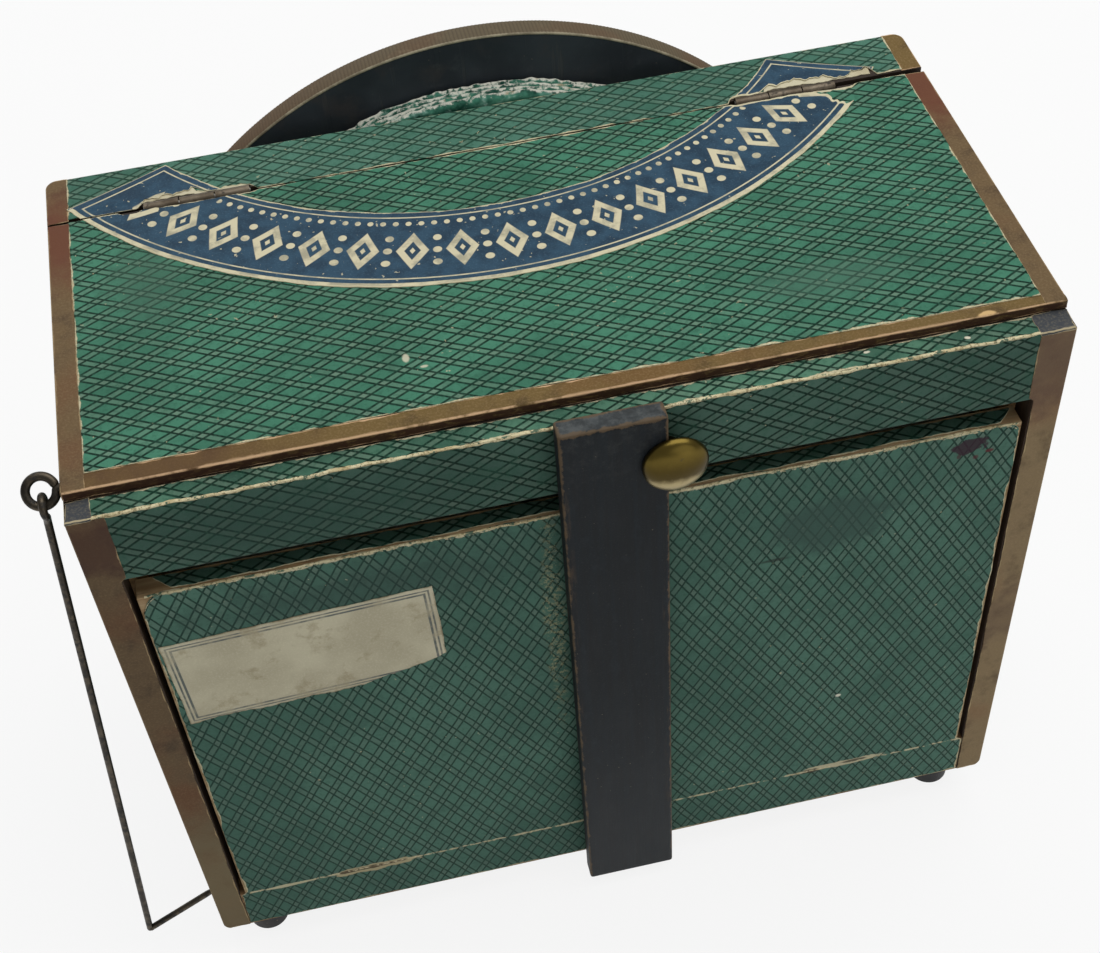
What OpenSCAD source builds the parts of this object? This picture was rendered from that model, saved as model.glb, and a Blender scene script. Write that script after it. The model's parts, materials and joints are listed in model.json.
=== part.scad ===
// Hand-held viewing box for translucent prints: a papered wooden case with a hinged lid,
// a rear flap, a locking bar, a link rod and a lens board carried on paper bellows.
// Millimetres. +X is right and +Y is away from someone behind the box. The origin is in
// the middle of the case's underside, above the feet.

/* [Case] */
// Width over both side panels
case_w = 220; // [205:1:250]
// Depth from the back face to the front face
case_d = 114; // [105:1:130]
// Height of the side panels
case_h = 169; // [164:1:190]
// Thickness of each side panel
side_t = 7; // [5:0.5:9]
// Thickness of the bottom board
bottom_t = 5; // [4:0.5:8]
// Thickness of the front panel
front_t = 5; // [4:0.5:8]
// Thickness of the back rails
rail_t = 7; // [6.5:0.5:9]
// Height of the top back rail
top_rail_h = 20; // [16:1:26]
// Height of the bottom back rail
bottom_rail_h = 15.5; // [12:0.5:20]
// Radius of the side panels' lower outer edges
side_round = 2.4; // [0.6:0.2:3.6]
// Radius of the case's upright front edges
front_round = 2.4; // [0.6:0.2:3.6]

/* [Lid] */
// Thickness of the lid and of the fixed strip
lid_t = 2.5; // [2.3:0.1:3.5]
// Width of the ledge left bare behind the lid
ledge_w = 6.2; // [4:0.1:6.5]
// Depth of the fixed strip, from the hinge axis to the front face
strip_d = 16.3; // [14:0.1:22]
// Gap between the hinge axis and the lid
lid_hinge_gap = 1.2; // [1:0.1:1.6]
// Gap between the hinge axis and the fixed strip
strip_hinge_gap = 0.5; // [0.4:0.1:0.8]
// Thickness of the pale card under the lid
lining_t = 0.8; // [0.5:0.1:1.5]
// Distance of the lining's edges from the walls around it
lining_inset = 2; // [1:0.5:6]

/* [Lid hinges] */
// Length of each butt hinge
hinge_len = 26; // [24:1:40]
// Distance of each hinge's middle from the middle of the case
hinge_x = 74; // [60:1:80]
// Outer radius of the knuckles
knuckle_r = 1.4; // [1.2:0.1:1.6]
// Radius of the hinge pin
hinge_pin_r = 0.7; // [0.5:0.1:0.8]
// Depth of the pin's axis below the top of the lid
knuckle_sink = 0.6; // [0.5:0.1:0.8]
// Thickness of the leaves
leaf_t = 0.6; // [0.4:0.1:0.8]
// Width of each leaf from the pin's axis
leaf_w = 9; // [7:0.5:11]
// Radius of the tacks through the leaves
tack_r = 0.55; // [0.4:0.05:0.7]
// Length of the tacks
tack_len = 2; // [1.5:0.1:2.2]
// Distance of the tacks from the ends and the edge of a leaf
tack_inset = 4; // [3:0.5:5]

/* [Eye and link rod] */
// Radius of the eye's ring, to the middle of its wire
eye_ring_r = 3.2; // [3.1:0.1:4.5]
// Radius of the eye's wire
eye_wire_r = 1; // [0.8:0.1:1.1]
// Lean of the eye's ring away from upright
eye_tilt = 45; // [30:1:60]
// Distance of the eye from the rear edge of the lid
eye_inset = 3.2; // [3:0.1:12]
// Radius of the eye's screw shank
eye_shank_r = 0.7; // [0.5:0.05:0.8]
// Length of the shank inside the lid
eye_shank_len = 9; // [6:0.5:14]
// Radius of the link rod's wire
rod_wire_r = 0.85; // [0.7:0.05:0.9]
// Swelling of the rod's wire at its loop and bend
bend_swell = 0.06; // [0.03:0.01:0.1]
// Drop from the eye to the rod's lower bend
rod_drop = 171; // [140:1:174]
// Outward lean of the rod over its drop
rod_lean = 17; // [14:0.5:24]
// Reach of the hook arm back towards the case
hook_reach = 20; // [14:0.5:20.5]
// Rise of the hook arm over its reach
hook_rise = 12.4; // [6:0.2:20]

/* [Flap] */
// Thickness of the flap
flap_t = 5.6; // [4:0.2:6]
// Slot between the flap's top edge and the top rail
flap_top_gap = 7; // [4:0.5:10]
// Gap at each side of the flap
flap_side_gap = 1.5; // [0.8:0.1:2.5]
// Gap at the fold between the flap and the bottom rail
fold_gap = 0.5; // [0.3:0.1:1]
// Thickness of the paper hinge
hinge_paper_t = 0.3; // [0.2:0.05:0.4]
// Height of the paper hinge across the fold
hinge_paper_h = 20; // [12:1:24]
// Radius of the hook's hole in the flap's left edge
hook_hole_r = 1.2; // [1.1:0.1:1.8]
// Depth of the hook's hole
hook_hole_len = 14; // [8:1:24]
// Distance of the hook's hole below the flap's top edge
hook_hole_drop = 30; // [15:1:60]

/* [Locking bar] */
// Width of the bar
bar_w = 24; // [18:0.5:28]
// Thickness of the bar
bar_t = 5.4; // [4:0.1:6]
// Sideways place of the bar's middle
bar_x = 4.7; // [-20:0.1:20]
// Gap between the bar and the back of the case
bar_gap = 0.6; // [0.5:0.05:1]
// Reach of the bar above the top rail
bar_top_reach = 3; // [0:0.5:6]
// Reach of the bar below the case
bar_foot_reach = 6; // [5.5:0.1:8]
// Radius of the pin in the bar's foot
bar_pin_r = 0.6; // [0.5:0.05:0.7]
// Depth of the pin's axis behind the bar's inner face
bar_pin_depth = 1.5; // [1.4:0.05:1.6]
// Drop of the pin's axis below the case
bar_pin_drop = 3; // [2.8:0.05:3.2]
// Outer radius of the bracket's barrel
barrel_r = 1.3; // [1.1:0.05:1.4]
// Width of the bracket's tongue
tongue_w = 6; // [5:0.5:10]
// Width of the bracket's plate
bracket_w = 12; // [10:0.5:18]
// Length of the bracket's plate under the case
bracket_len = 16; // [14:0.5:24]
// Thickness of the bracket
bracket_t = 1.2; // [1:0.1:1.4]
// Distance of the bracket screws from the plate's edges
bracket_screw_inset = 2.8; // [2:0.1:4]
// Radius of the bracket screws
bracket_screw_r = 0.9; // [0.7:0.1:1.2]
// Length of the bracket screws
bracket_screw_len = 5; // [4:0.5:6]

/* [Stud] */
// Radius of the stud's head
stud_r = 7.4; // [5:0.1:8]
// Thickness of the head's rim
stud_rim_t = 0.8; // [0.4:0.1:1.2]
// Rise of the head's dome above its rim
stud_dome_h = 3.2; // [2:0.1:3.8]
// Radius of the stud's shank beside the bar
stud_shank_r = 2.2; // [1.8:0.1:2.6]
// Distance of the stud's axis outside the bar's edge
stud_offset = 1.1; // [0.6:0.1:1.4]
// Distance of the stud below the top of the case
stud_drop = 10.8; // [8:0.1:12]
// Radius of the peg that plugs into the top rail
peg_r = 1.5; // [1.2:0.1:1.8]
// Depth of the peg in the rail
peg_len = 4; // [3:0.5:5]

/* [Feet] */
// Height of each foot
foot_h = 11.5; // [11:0.5:15]
// Radius of each foot
foot_r = 5.5; // [4.5:0.1:7]
// Distance of a foot's middle from the side of the case
foot_inset_x = 11.5; // [8:0.5:20]
// Distance of a foot's middle from the back or front of the case
foot_inset_y = 8.5; // [7:0.5:16]
// Bevel round the bottom of a foot
foot_bevel = 1.6; // [0.5:0.1:1.8]
// Height of a foot's neck
foot_neck_h = 3.5; // [2:0.5:5]
// Depth of the neck inside the foot's radius
foot_neck_in = 0.8; // [0.4:0.1:1.2]
// Depth of the screw's head above the bottom of a foot
foot_head_sink = 3.8; // [3:0.1:5]
// Radius of the foot screws
foot_screw_r = 1.2; // [0.9:0.1:1.6]
// Length of a foot screw inside the case
foot_screw_grip = 4; // [3:0.5:4.5]
// Radius of the foot screws' heads
foot_head_r = 2.4; // [2:0.1:2.8]

/* [View] */
// Width of each runner strip beside the view
runner_w = 4; // [3:0.5:8]
// Thickness of each runner strip
runner_t = 2.5; // [2:0.5:4]
// Height of the runners above the bottom board
runner_h = 140; // [100:1:156]
// Thickness of the view's wooden frame
view_t = 5; // [4:0.5:6]
// Width of the frame's bars
view_bar_w = 7; // [5:0.5:12]
// Height of the view
view_h = 145; // [120:1:160]
// Thickness of the view's sheet
sheet_t = 0.3; // [0.2:0.05:0.5]

/* [Bellows] */
// Sideways place of the lens axis
lens_x = -1; // [-3:0.5:3]
// Height of the lens axis above the bottom of the case
lens_height = 88; // [86:0.5:92]
// Radius of the round opening in the front panel
opening_r = 70; // [62:0.5:78]
// Width of the rear ring of card
ring_w = 4; // [3:0.5:6]
// Reach of the rear ring in front of the case
ring_reach = 0.3; // [0.2:0.1:1]
// Number of pleats
pleats = 4; // [3:1:6]
// Depth of the closed pleats from ring to ring
pleat_d = 6.7; // [6.5:0.1:12]
// Reach of the pleats outside the opening
pleat_reach = 16.5; // [8:0.5:18]
// Thickness of the pleated paper
pleat_t = 0.45; // [0.3:0.05:0.5]
// Width of the front ring of card
front_ring_w = 9; // [6:0.5:12]
// Thickness of the front ring
front_ring_t = 1; // [0.8:0.1:2]

/* [Lens board] */
// Radius of the board over its rim band
board_r = 98.6; // [92:0.1:98.8]
// Thickness of the board
board_t = 5.6; // [4:0.1:8]
// Thickness of the paper band round the rim
band_t = 0.6; // [0.3:0.1:1]
// Radius of the hole for the lens cell
cell_hole_r = 26; // [22:0.5:30]
// Radius of the cell's flange
cell_r = 34; // [33:0.5:40]
// Depth of the cell in front of the board
cell_d = 8; // [7:0.5:12]
// Bevel round the front of the cell
cell_bevel = 3.2; // [1:0.2:4]
// Distance of the lens seat in front of the board
cell_seat_d = 1.5; // [0.5:0.1:2]
// Width of the cell's wall behind the lens
cell_lip_w = 5; // [4:0.5:7]
// Radius of the lens
lens_r = 23.5; // [20:0.5:23.5]
// Thickness of the lens at its edge
lens_edge_t = 2.4; // [2:0.1:4]
// Rise of each face of the lens
lens_sag = 3; // [2:0.1:3.5]
// Width of the ring that holds the lens
lens_ring_w = 1.8; // [1.2:0.1:3]
// Thickness of that ring
lens_ring_t = 1.6; // [1:0.1:2]
// Radius of the cell screws
cell_screw_r = 1; // [0.7:0.1:1.2]
// Length of the cell screws
cell_screw_len = 9; // [7:0.5:9.5]
// Depth of the cell screws' heads below the front of the cell
cell_screw_sink = 3.2; // [2:0.2:4]

/* [Clearances] */
// Radial room of a pin that turns
pin_room = 0.05; // [0.03:0.01:0.1]
// Room around parts that pass each other
pass_room = 0.3; // [0.25:0.05:0.4]
// Room around parts let into a seat
seat_room = 0.1; // [0.05:0.05:0.2]

/* [Hidden] */
$fn = 64;

// Levels and planes of the case
y_back = -case_d / 2;
y_front = case_d / 2;
z_case = 0;
z_ledge = z_case + case_h;
z_top = z_ledge + lid_t;
z_floor = z_case + bottom_t;
x_side = case_w / 2;
x_wall = x_side - side_t;
y_rail = y_back + rail_t;
y_panel = y_front - front_t;

// Lid and hinge line
hinge_y = y_front - strip_d;
hinge_z = z_top - knuckle_sink;
lid_y0 = y_back + ledge_w;
lid_y1 = hinge_y - lid_hinge_gap;
strip_y0 = hinge_y + strip_hinge_gap;
knuckle_room_r = knuckle_r + pass_room;
knuckle_len = hinge_len / 3;

// Eye and link rod: the rod turns about the lowest stretch of the eye's wire
eye_x = -x_side - eye_ring_r - eye_wire_r - seat_room;
eye_y = lid_y0 + eye_inset;
eye_z = z_ledge + lid_t / 2;
rod_y = eye_y - eye_ring_r * sin(eye_tilt);
rod_z = eye_z - eye_ring_r * cos(eye_tilt);
bend_wire_r = rod_wire_r + bend_swell;
loop_r = eye_wire_r + pass_room + bend_wire_r;
rod_bend = [eye_x - rod_lean, rod_y, rod_z - rod_drop];
rod_tip = rod_bend + [hook_reach, 0, hook_rise];

// Flap and fold
fold_z = z_case + bottom_rail_h + fold_gap / 2;
flap_z0 = z_case + bottom_rail_h + fold_gap;
flap_z1 = z_ledge - top_rail_h - flap_top_gap;
flap_x = x_wall - flap_side_gap;

// Locking bar, its foot hinge and the stud
bar_y1 = y_back - bar_gap;
bar_y0 = bar_y1 - bar_t;
bar_z0 = z_case - bar_foot_reach;
bar_z1 = z_ledge + bar_top_reach;
bar_axis_y = bar_y1 - bar_pin_depth;
bar_axis_z = z_case - bar_pin_drop;
mortise_r = barrel_r + pass_room;
bracket_y0 = y_back + bracket_t + pass_room;
stud_x = bar_x + bar_w / 2 + stud_offset;
stud_z = z_ledge - stud_drop;

// View between its runners
view_y0 = y_rail + runner_t + pass_room;
view_y1 = view_y0 + view_t + sheet_t + pass_room;
view_x = x_wall - pass_room;

// Bellows and lens board
lens_z = z_case + lens_height;
ring_r0 = opening_r - ring_w;
ring_y1 = y_front + ring_reach;
front_ring_y = ring_y1 + pleat_d;
board_y0 = front_ring_y + front_ring_t;
board_y1 = board_y0 + board_t;
band_r = board_r - band_t;
cell_bore_r = cell_hole_r - cell_lip_w;
lens_seat_r = lens_r + pass_room;
lens_dome_r = (lens_r * lens_r + lens_sag * lens_sag) / (2 * lens_sag);
lens_edge_y = board_y1 + cell_seat_d + dome_rise(cell_bore_r) + pin_room;
lens_ring_r0 = lens_seat_r - lens_ring_w;
lens_ring_y = lens_edge_y + lens_edge_t + dome_rise(lens_ring_r0) + pin_room;
cell_screw_ring_r = (cell_r + lens_seat_r) / 2;

// Rise of a lens face above its edge at the radius r
function dome_rise(r) = lens_sag - lens_dome_r + sqrt(lens_dome_r * lens_dome_r - r * r);

// A block between two corners
module block(low, high) {
    translate(low) cube(high - low);
}

// Turns children whose axis is +Z so that it points along +Y
module along_y() {
    rotate([-90, 0, 0]) children();
}

// Turns children whose axis is +Z so that it points along +X
module along_x() {
    rotate([0, 90, 0]) children();
}

// Places children on the lens axis at the depth y
module on_lens_axis(y) {
    translate([lens_x, y, lens_z]) along_y() children();
}

// A ring between two radii, standing on z = 0
module ring(outer_r, inner_r, height) {
    rotate_extrude($fn = 128) translate([inner_r, 0]) square([outer_r - inner_r, height]);
}

// A straight wire between two points that share one y
module wire(from, to, r) {
    step = to - from;
    translate(from) rotate([0, atan2(step.x, step.z), 0]) cylinder(r = r, h = norm(step));
}

// Copies children to both hinges
module each_hinge() {
    for (side = [-1, 1]) translate([side * hinge_x, hinge_y, hinge_z]) children();
}

// Copies children to the tack places of one leaf: way is -1 on the lid, 1 on the strip
module each_tack(way) {
    for (end = [-1, 1])
        translate([end * (hinge_len / 2 - tack_inset), way * (leaf_w - tack_inset), knuckle_sink])
            children();
}

// The tacks of one side, as bodies or, with room, as their holes
module tacks(way, room) {
    each_hinge() each_tack(way)
        translate([0, 0, -tack_len - room]) cylinder(r = tack_r + room, h = tack_len + room, $fn = 32);
}

// One leaf: a plate beside the axis, its knuckles and the bore for the pin
module leaf(way, first, last) {
    half = hinge_len / 2;
    difference() {
        union() {
            flip_y(way)
                block([-half, knuckle_room_r, knuckle_sink - leaf_t], [half, leaf_w, knuckle_sink]);
            for (i = [first : 2 : last]) knuckle(i, way);
        }
        translate([-half - pass_room, 0, 0]) along_x()
            cylinder(r = hinge_pin_r + pin_room, h = hinge_len + 2 * pass_room, $fn = 32);
    }
}

// Mirrors children across the hinge axis when way is negative
module flip_y(way) {
    if (way < 0) mirror([0, 1, 0]) children();
    else children();
}

// Knuckle number i of three, with the tab that joins it to its plate
module knuckle(i, way) {
    x0 = -hinge_len / 2 + i * knuckle_len + pass_room / 2;
    x1 = x0 + knuckle_len - pass_room;
    translate([x0, 0, 0]) along_x() cylinder(r = knuckle_r, h = x1 - x0, $fn = 32);
    flip_y(way) block([x0, 0, knuckle_sink - leaf_t], [x1, knuckle_room_r + leaf_t, knuckle_sink]);
}

// Room for a leaf and for the knuckles in the wood on one side
module leaf_pocket(way) {
    half = hinge_len / 2 + seat_room;
    flip_y(way)
        block([-half, 0, knuckle_sink - leaf_t], [half, leaf_w + seat_room, knuckle_sink + lid_t]);
    translate([-half, 0, 0]) along_x() cylinder(r = knuckle_room_r, h = 2 * half, $fn = 32);
}

// Points of a quarter circle of radius r about centre, from the angle start on
function quarter(centre, r, start) =
    [for (turn = [0 : 9 : 90]) centre + r * [cos(start + turn), sin(start + turn)]];

// Outline of the case's right side from above, from the depth y0 round the upright front edge
function right_rim(y0) = concat(
    [[x_side, y0]], quarter([x_side - front_round, y_front - front_round], front_round, 0));

// The right side panel, rounded at its lower outer edge and at its upright front edge
module side_panel() {
    color("saddlebrown") intersection() {
        translate([0, y_front, 0]) rotate([90, 0, 0]) linear_extrude(case_d) polygon(concat(
            [[x_wall, z_ledge], [x_wall, z_case]],
            quarter([x_side - side_round, z_case + side_round], side_round, -90),
            [[x_side, z_ledge]]));
        translate([0, 0, z_case]) linear_extrude(case_h) polygon(concat(
            [[x_wall, y_front], [x_wall, y_back]], right_rim(y_back)));
    }
}

module left_side_panel() {
    mirror([1, 0, 0]) side_panel();
}

module right_side_panel() {
    side_panel();
}

module bottom_board() {
    color("peru") difference() {
        block([-x_wall, y_rail, z_case], [x_wall, y_panel, z_floor]);
        each_foot() foot_screw_hole();
        bracket_holes();
    }
}

module front_panel() {
    color("seagreen") difference() {
        block([-x_wall, y_panel, z_case], [x_wall, y_front, z_ledge]);
        on_lens_axis(y_panel - pass_room)
            cylinder(r = opening_r, h = front_t + 2 * pass_room, $fn = 128);
        each_foot() foot_screw_hole();
    }
}

module top_strip() {
    rim = right_rim(strip_y0);
    color("seagreen") difference() {
        translate([0, 0, z_ledge]) linear_extrude(lid_t) polygon(concat(
            rim, [for (i = [len(rim) - 1 : -1 : 0]) [-rim[i][0], rim[i][1]]]));
        each_hinge() leaf_pocket(1);
        tacks(1, pin_room);
    }
}

module back_top_rail() {
    color("seagreen") difference() {
        block([-x_wall, y_back, z_ledge - top_rail_h], [x_wall, y_rail, z_ledge]);
        translate([stud_x, y_back - pass_room, stud_z]) along_y()
            cylinder(r = peg_r + pass_room, h = peg_len + 2 * pass_room, $fn = 32);
    }
}

module back_bottom_rail() {
    color("seagreen") difference() {
        block([-x_wall, y_back, z_case], [x_wall, y_rail, z_case + bottom_rail_h]);
        each_foot() foot_screw_hole();
        bracket_holes();
    }
}

module view_runners() {
    color("tan") for (side = [-1, 1]) {
        for (y0 = [y_rail, view_y1]) {
            low_x = side < 0 ? -x_wall : x_wall - runner_w;
            block([low_x, y0, z_floor], [low_x + runner_w, y0 + runner_t, z_floor + runner_h]);
        }
    }
}

module view_frame() {
    color("burlywood") difference() {
        block([-view_x, view_y0, z_floor], [view_x, view_y0 + view_t, z_floor + view_h]);
        block([-view_x + view_bar_w, view_y0 - pass_room, z_floor + view_bar_w],
              [view_x - view_bar_w, view_y0 + view_t + pass_room, z_floor + view_h - view_bar_w]);
    }
}

module view_sheet() {
    y0 = view_y0 + view_t;
    color("wheat")
        block([-view_x, y0, z_floor], [view_x, y0 + sheet_t, z_floor + view_h]);
}

// Copies children to the four feet, at the underside of the case
module each_foot() {
    for (x = [-x_side + foot_inset_x, x_side - foot_inset_x])
        for (y = [y_back + foot_inset_y, y_front - foot_inset_y])
            translate([x, y, z_case]) children();
}

// Hole for a foot screw in the case
module foot_screw_hole() {
    cylinder(r = foot_screw_r + pin_room, h = foot_screw_grip + seat_room, $fn = 32);
}

// A turned button with a neck, a bore for its screw and a recess for the screw's head
module feet() {
    neck_r = foot_r - foot_neck_in;
    neck_z = foot_h - foot_neck_h;
    color([0.08, 0.08, 0.08]) each_foot() translate([0, 0, -foot_h]) difference() {
        rotate_extrude() polygon([
            [0, 0], [foot_r - foot_bevel, 0], [foot_r, foot_bevel], [foot_r, neck_z],
            [neck_r, neck_z + foot_neck_in], [neck_r, foot_h], [0, foot_h]
        ]);
        cylinder(r = foot_screw_r + pin_room, h = foot_h, $fn = 32);
        cylinder(r = foot_head_r + seat_room, h = foot_head_sink, $fn = 32);
    }
}

module foot_screws() {
    color("dimgray") each_foot() translate([0, 0, -foot_h + foot_head_sink]) {
        cylinder(r = foot_screw_r, h = foot_h - foot_head_sink + foot_screw_grip, $fn = 32);
        translate([0, 0, -foot_screw_r]) cylinder(r = foot_head_r, h = foot_screw_r, $fn = 32);
    }
}

module hinge_fixed_leaves() {
    color("darkslategray") difference() {
        each_hinge() leaf(1, 0, 2);
        tacks(1, pin_room);
    }
}

module hinge_lid_leaves() {
    color("darkslategray") difference() {
        each_hinge() leaf(-1, 1, 1);
        tacks(-1, pin_room);
    }
}

module hinge_pins() {
    color("gray") each_hinge() translate([-hinge_len / 2, 0, 0]) along_x()
        cylinder(r = hinge_pin_r, h = hinge_len, $fn = 32);
}

module hinge_fixed_tacks() {
    color("gray") tacks(1, 0);
}

module hinge_lid_tacks() {
    color("gray") tacks(-1, 0);
}

module lid_panel() {
    color("seagreen") difference() {
        block([-x_side, lid_y0, z_ledge], [x_side, lid_y1, z_top]);
        each_hinge() leaf_pocket(-1);
        tacks(-1, pin_room);
        translate([-x_side - seat_room, eye_y, eye_z]) along_x()
            cylinder(r = eye_shank_r + pin_room, h = eye_shank_len + 2 * seat_room, $fn = 32);
    }
}

module lid_lining() {
    y0 = view_y1 + runner_t + lining_inset;
    color("gainsboro")
        block([-x_wall + lining_inset, y0, z_ledge - lining_t],
              [x_wall - lining_inset, lid_y1 - lining_inset, z_ledge]);
}

// A wire ring that leans back, with a shank in the edge of the lid
module lid_screw_eye() {
    color("dimgray") {
        translate([eye_x, eye_y, eye_z]) rotate([-eye_tilt + 90, 0, 0])
            rotate_extrude() translate([eye_ring_r, 0]) circle(r = eye_wire_r, $fn = 32);
        translate([eye_x + eye_ring_r, eye_y, eye_z]) along_x()
            cylinder(r = eye_shank_r, h = eye_wire_r + seat_room + eye_shank_len, $fn = 32);
    }
}

// A loop round the eye's wire, a leaning straight rod, a sharp bend and a hook arm
module link_rod() {
    rod_top = [eye_x, rod_y, rod_z - loop_r];
    color("dimgray") {
        translate([eye_x, rod_y, rod_z]) along_x()
            rotate_extrude() translate([loop_r, 0]) circle(r = bend_wire_r, $fn = 32);
        wire(rod_top, rod_bend, rod_wire_r);
        wire(rod_bend, rod_tip, rod_wire_r);
        translate(rod_bend) sphere(r = bend_wire_r, $fn = 32);
    }
}

module flap_panel() {
    color("seagreen") difference() {
        block([-flap_x, y_back, flap_z0], [flap_x, y_back + flap_t, flap_z1]);
        translate([-flap_x - seat_room, y_back + flap_t / 2, flap_z1 - hook_hole_drop]) along_x()
            cylinder(r = hook_hole_r, h = hook_hole_len + seat_room, $fn = 32);
    }
}

module flap_paper_hinge() {
    color("darkgreen")
        block([-flap_x, y_back - hinge_paper_t, fold_z - hinge_paper_h / 2],
              [flap_x, y_back, fold_z + hinge_paper_h / 2]);
}

// Flat bar with a seat for the stud in its edge and a mortise for the bracket in its foot
module locking_bar() {
    half = bar_w / 2;
    mortise_half = tongue_w / 2 + pass_room;
    color("dimgray") difference() {
        block([bar_x - half, bar_y0, bar_z0], [bar_x + half, bar_y1, bar_z1]);
        block([bar_x - mortise_half, bar_axis_y - mortise_r, bar_z0 - pass_room],
              [bar_x + mortise_half, bar_y1 + pass_room, bar_axis_z + mortise_r]);
        translate([bar_x - half - pass_room, bar_axis_y, bar_axis_z]) along_x()
            cylinder(r = bar_pin_r + pin_room, h = bar_w + 2 * pass_room, $fn = 32);
        translate([stud_x, bar_y0 - pass_room, stud_z]) along_y()
            cylinder(r = stud_shank_r + pin_room, h = bar_t + 2 * pass_room, $fn = 32);
    }
}

module bar_pivot_pin() {
    color("gray") translate([bar_x - bar_w / 2, bar_axis_y, bar_axis_z]) along_x()
        cylinder(r = bar_pin_r, h = bar_w, $fn = 32);
}

// A plate under the case whose tongue slopes down to a barrel round the bar's pin
module bar_bracket() {
    color("gray") difference() {
        union() {
            translate([bar_x - tongue_w / 2, bar_axis_y, bar_axis_z]) along_x()
                cylinder(r = barrel_r, h = tongue_w, $fn = 32);
            translate([bar_x + tongue_w / 2, 0, 0]) rotate([0, -90, 0]) linear_extrude(tongue_w)
                polygon([
                    [z_case, bracket_y0 + bracket_t], [z_case - bracket_t, bracket_y0 + bracket_t],
                    [bar_axis_z - bracket_t / 2, bar_axis_y], [bar_axis_z + bracket_t / 2, bar_axis_y],
                    [z_case - bracket_t / 4, bracket_y0]
                ]);
            block([bar_x - bracket_w / 2, bracket_y0 + bracket_t / 2, z_case - bracket_t],
                  [bar_x + bracket_w / 2, bracket_y0 + bracket_len, z_case]);
        }
        translate([bar_x - tongue_w, bar_axis_y, bar_axis_z]) along_x()
            cylinder(r = bar_pin_r + pin_room, h = 2 * tongue_w, $fn = 32);
        bracket_holes();
    }
}

// Copies children to the bracket's two screws, at the underside of its plate
module each_bracket_screw() {
    half = bracket_w / 2 - bracket_screw_inset;
    y = bracket_y0 + bracket_len - bracket_screw_inset;
    for (x = [bar_x - half, bar_x + half]) translate([x, y, z_case - bracket_t]) children();
}

// Holes for the bracket screws through the plate and into the case
module bracket_holes() {
    each_bracket_screw() translate([0, 0, -pass_room])
        cylinder(r = bracket_screw_r + pin_room, h = bracket_screw_len + 2 * pass_room, $fn = 32);
}

module bracket_screws() {
    color("darkgray") each_bracket_screw() {
        cylinder(r = bracket_screw_r, h = bracket_screw_len, $fn = 32);
        translate([0, 0, -bracket_screw_r])
            cylinder(r = 2 * bracket_screw_r, h = bracket_screw_r, $fn = 32);
    }
}

// Domed head, a shank beside the bar and a peg that plugs into the top rail
module latch_stud() {
    dome_r = (stud_r * stud_r + stud_dome_h * stud_dome_h) / (2 * stud_dome_h);
    head_h = stud_dome_h + stud_rim_t;
    color("goldenrod") translate([stud_x, bar_y0, stud_z]) along_y() {
        intersection() {
            translate([0, 0, dome_r - head_h]) sphere(r = dome_r, $fn = 96);
            translate([0, 0, -head_h]) cylinder(r = stud_r, h = head_h);
        }
        cylinder(r = stud_shank_r, h = bar_t, $fn = 32);
        cylinder(r = peg_r, h = bar_t + bar_gap + peg_len, $fn = 32);
    }
}

module bellows_rear_ring() {
    color("burlywood") on_lens_axis(y_panel)
        ring(opening_r - seat_room, ring_r0, front_t + ring_reach);
}

// Pleated paper: a zigzag wall between the two rings, closed at rest. The outline runs out
// along the outside folds, then back along the inside ones. Neighbouring walls merge near a
// fold, so each groove stops short of it by the share that their thickness takes up.
module bellows() {
    half_pitch = (pleat_d - pleat_t) / (2 * pleats);
    in_r = opening_r - ring_w / 2;
    out_r = opening_r + pleat_reach;
    groove = (out_r - in_r) * pleat_t / (2 * half_pitch);
    outside = [for (i = [1 : pleats]) each [
        [i == 1 ? in_r : in_r + groove, (2 * i - 2) * half_pitch + (i == 1 ? 0 : pleat_t / 2)],
        [out_r, (2 * i - 1) * half_pitch],
        [out_r, (2 * i - 1) * half_pitch + pleat_t]
    ]];
    inside = [for (i = [pleats : -1 : 1]) each [
        [in_r, 2 * i * half_pitch + (i == pleats ? pleat_t : 0)],
        [out_r - groove, (2 * i - 1) * half_pitch + pleat_t / 2],
        [in_r, (2 * i - 2) * half_pitch + pleat_t]
    ]];
    color("darkgreen") on_lens_axis(ring_y1)
        rotate_extrude($fn = 128) polygon(concat(outside, inside));
}

module bellows_front_ring() {
    color("burlywood") on_lens_axis(front_ring_y)
        ring(ring_r0 + front_ring_w, ring_r0, front_ring_t);
}

module lens_board() {
    color([0.1, 0.1, 0.1]) difference() {
        on_lens_axis(board_y0) ring(band_r - pin_room, cell_hole_r, board_t);
        each_cell_screw() cell_screw_hole();
    }
}

module rim_band() {
    color("saddlebrown") on_lens_axis(board_y0) ring(board_r, band_r, board_t);
}

// A turned cell: spigot in the board, flange in front of it and a seat for the lens
module lens_cell() {
    color([0.12, 0.1, 0.08]) difference() {
        on_lens_axis(board_y0) rotate_extrude($fn = 128) polygon([
            [cell_bore_r, 0], [cell_hole_r - seat_room, 0], [cell_hole_r - seat_room, board_t],
            [cell_r, board_t], [cell_r, board_t + cell_d - cell_bevel],
            [cell_r - cell_bevel, board_t + cell_d], [lens_seat_r, board_t + cell_d],
            [lens_seat_r, board_t + cell_seat_d], [cell_bore_r, board_t + cell_seat_d]
        ]);
        each_cell_screw() cell_screw_hole();
    }
}

// A lens with two domed faces and a straight edge
module lens() {
    color([0.8, 0.9, 0.95, 0.5]) on_lens_axis(lens_edge_y) intersection() {
        translate([0, 0, lens_dome_r - lens_sag]) sphere(r = lens_dome_r, $fn = 128);
        translate([0, 0, lens_edge_t + lens_sag - lens_dome_r]) sphere(r = lens_dome_r, $fn = 128);
        translate([0, 0, -lens_sag]) cylinder(r = lens_r, h = lens_edge_t + 2 * lens_sag, $fn = 128);
    }
}

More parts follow.
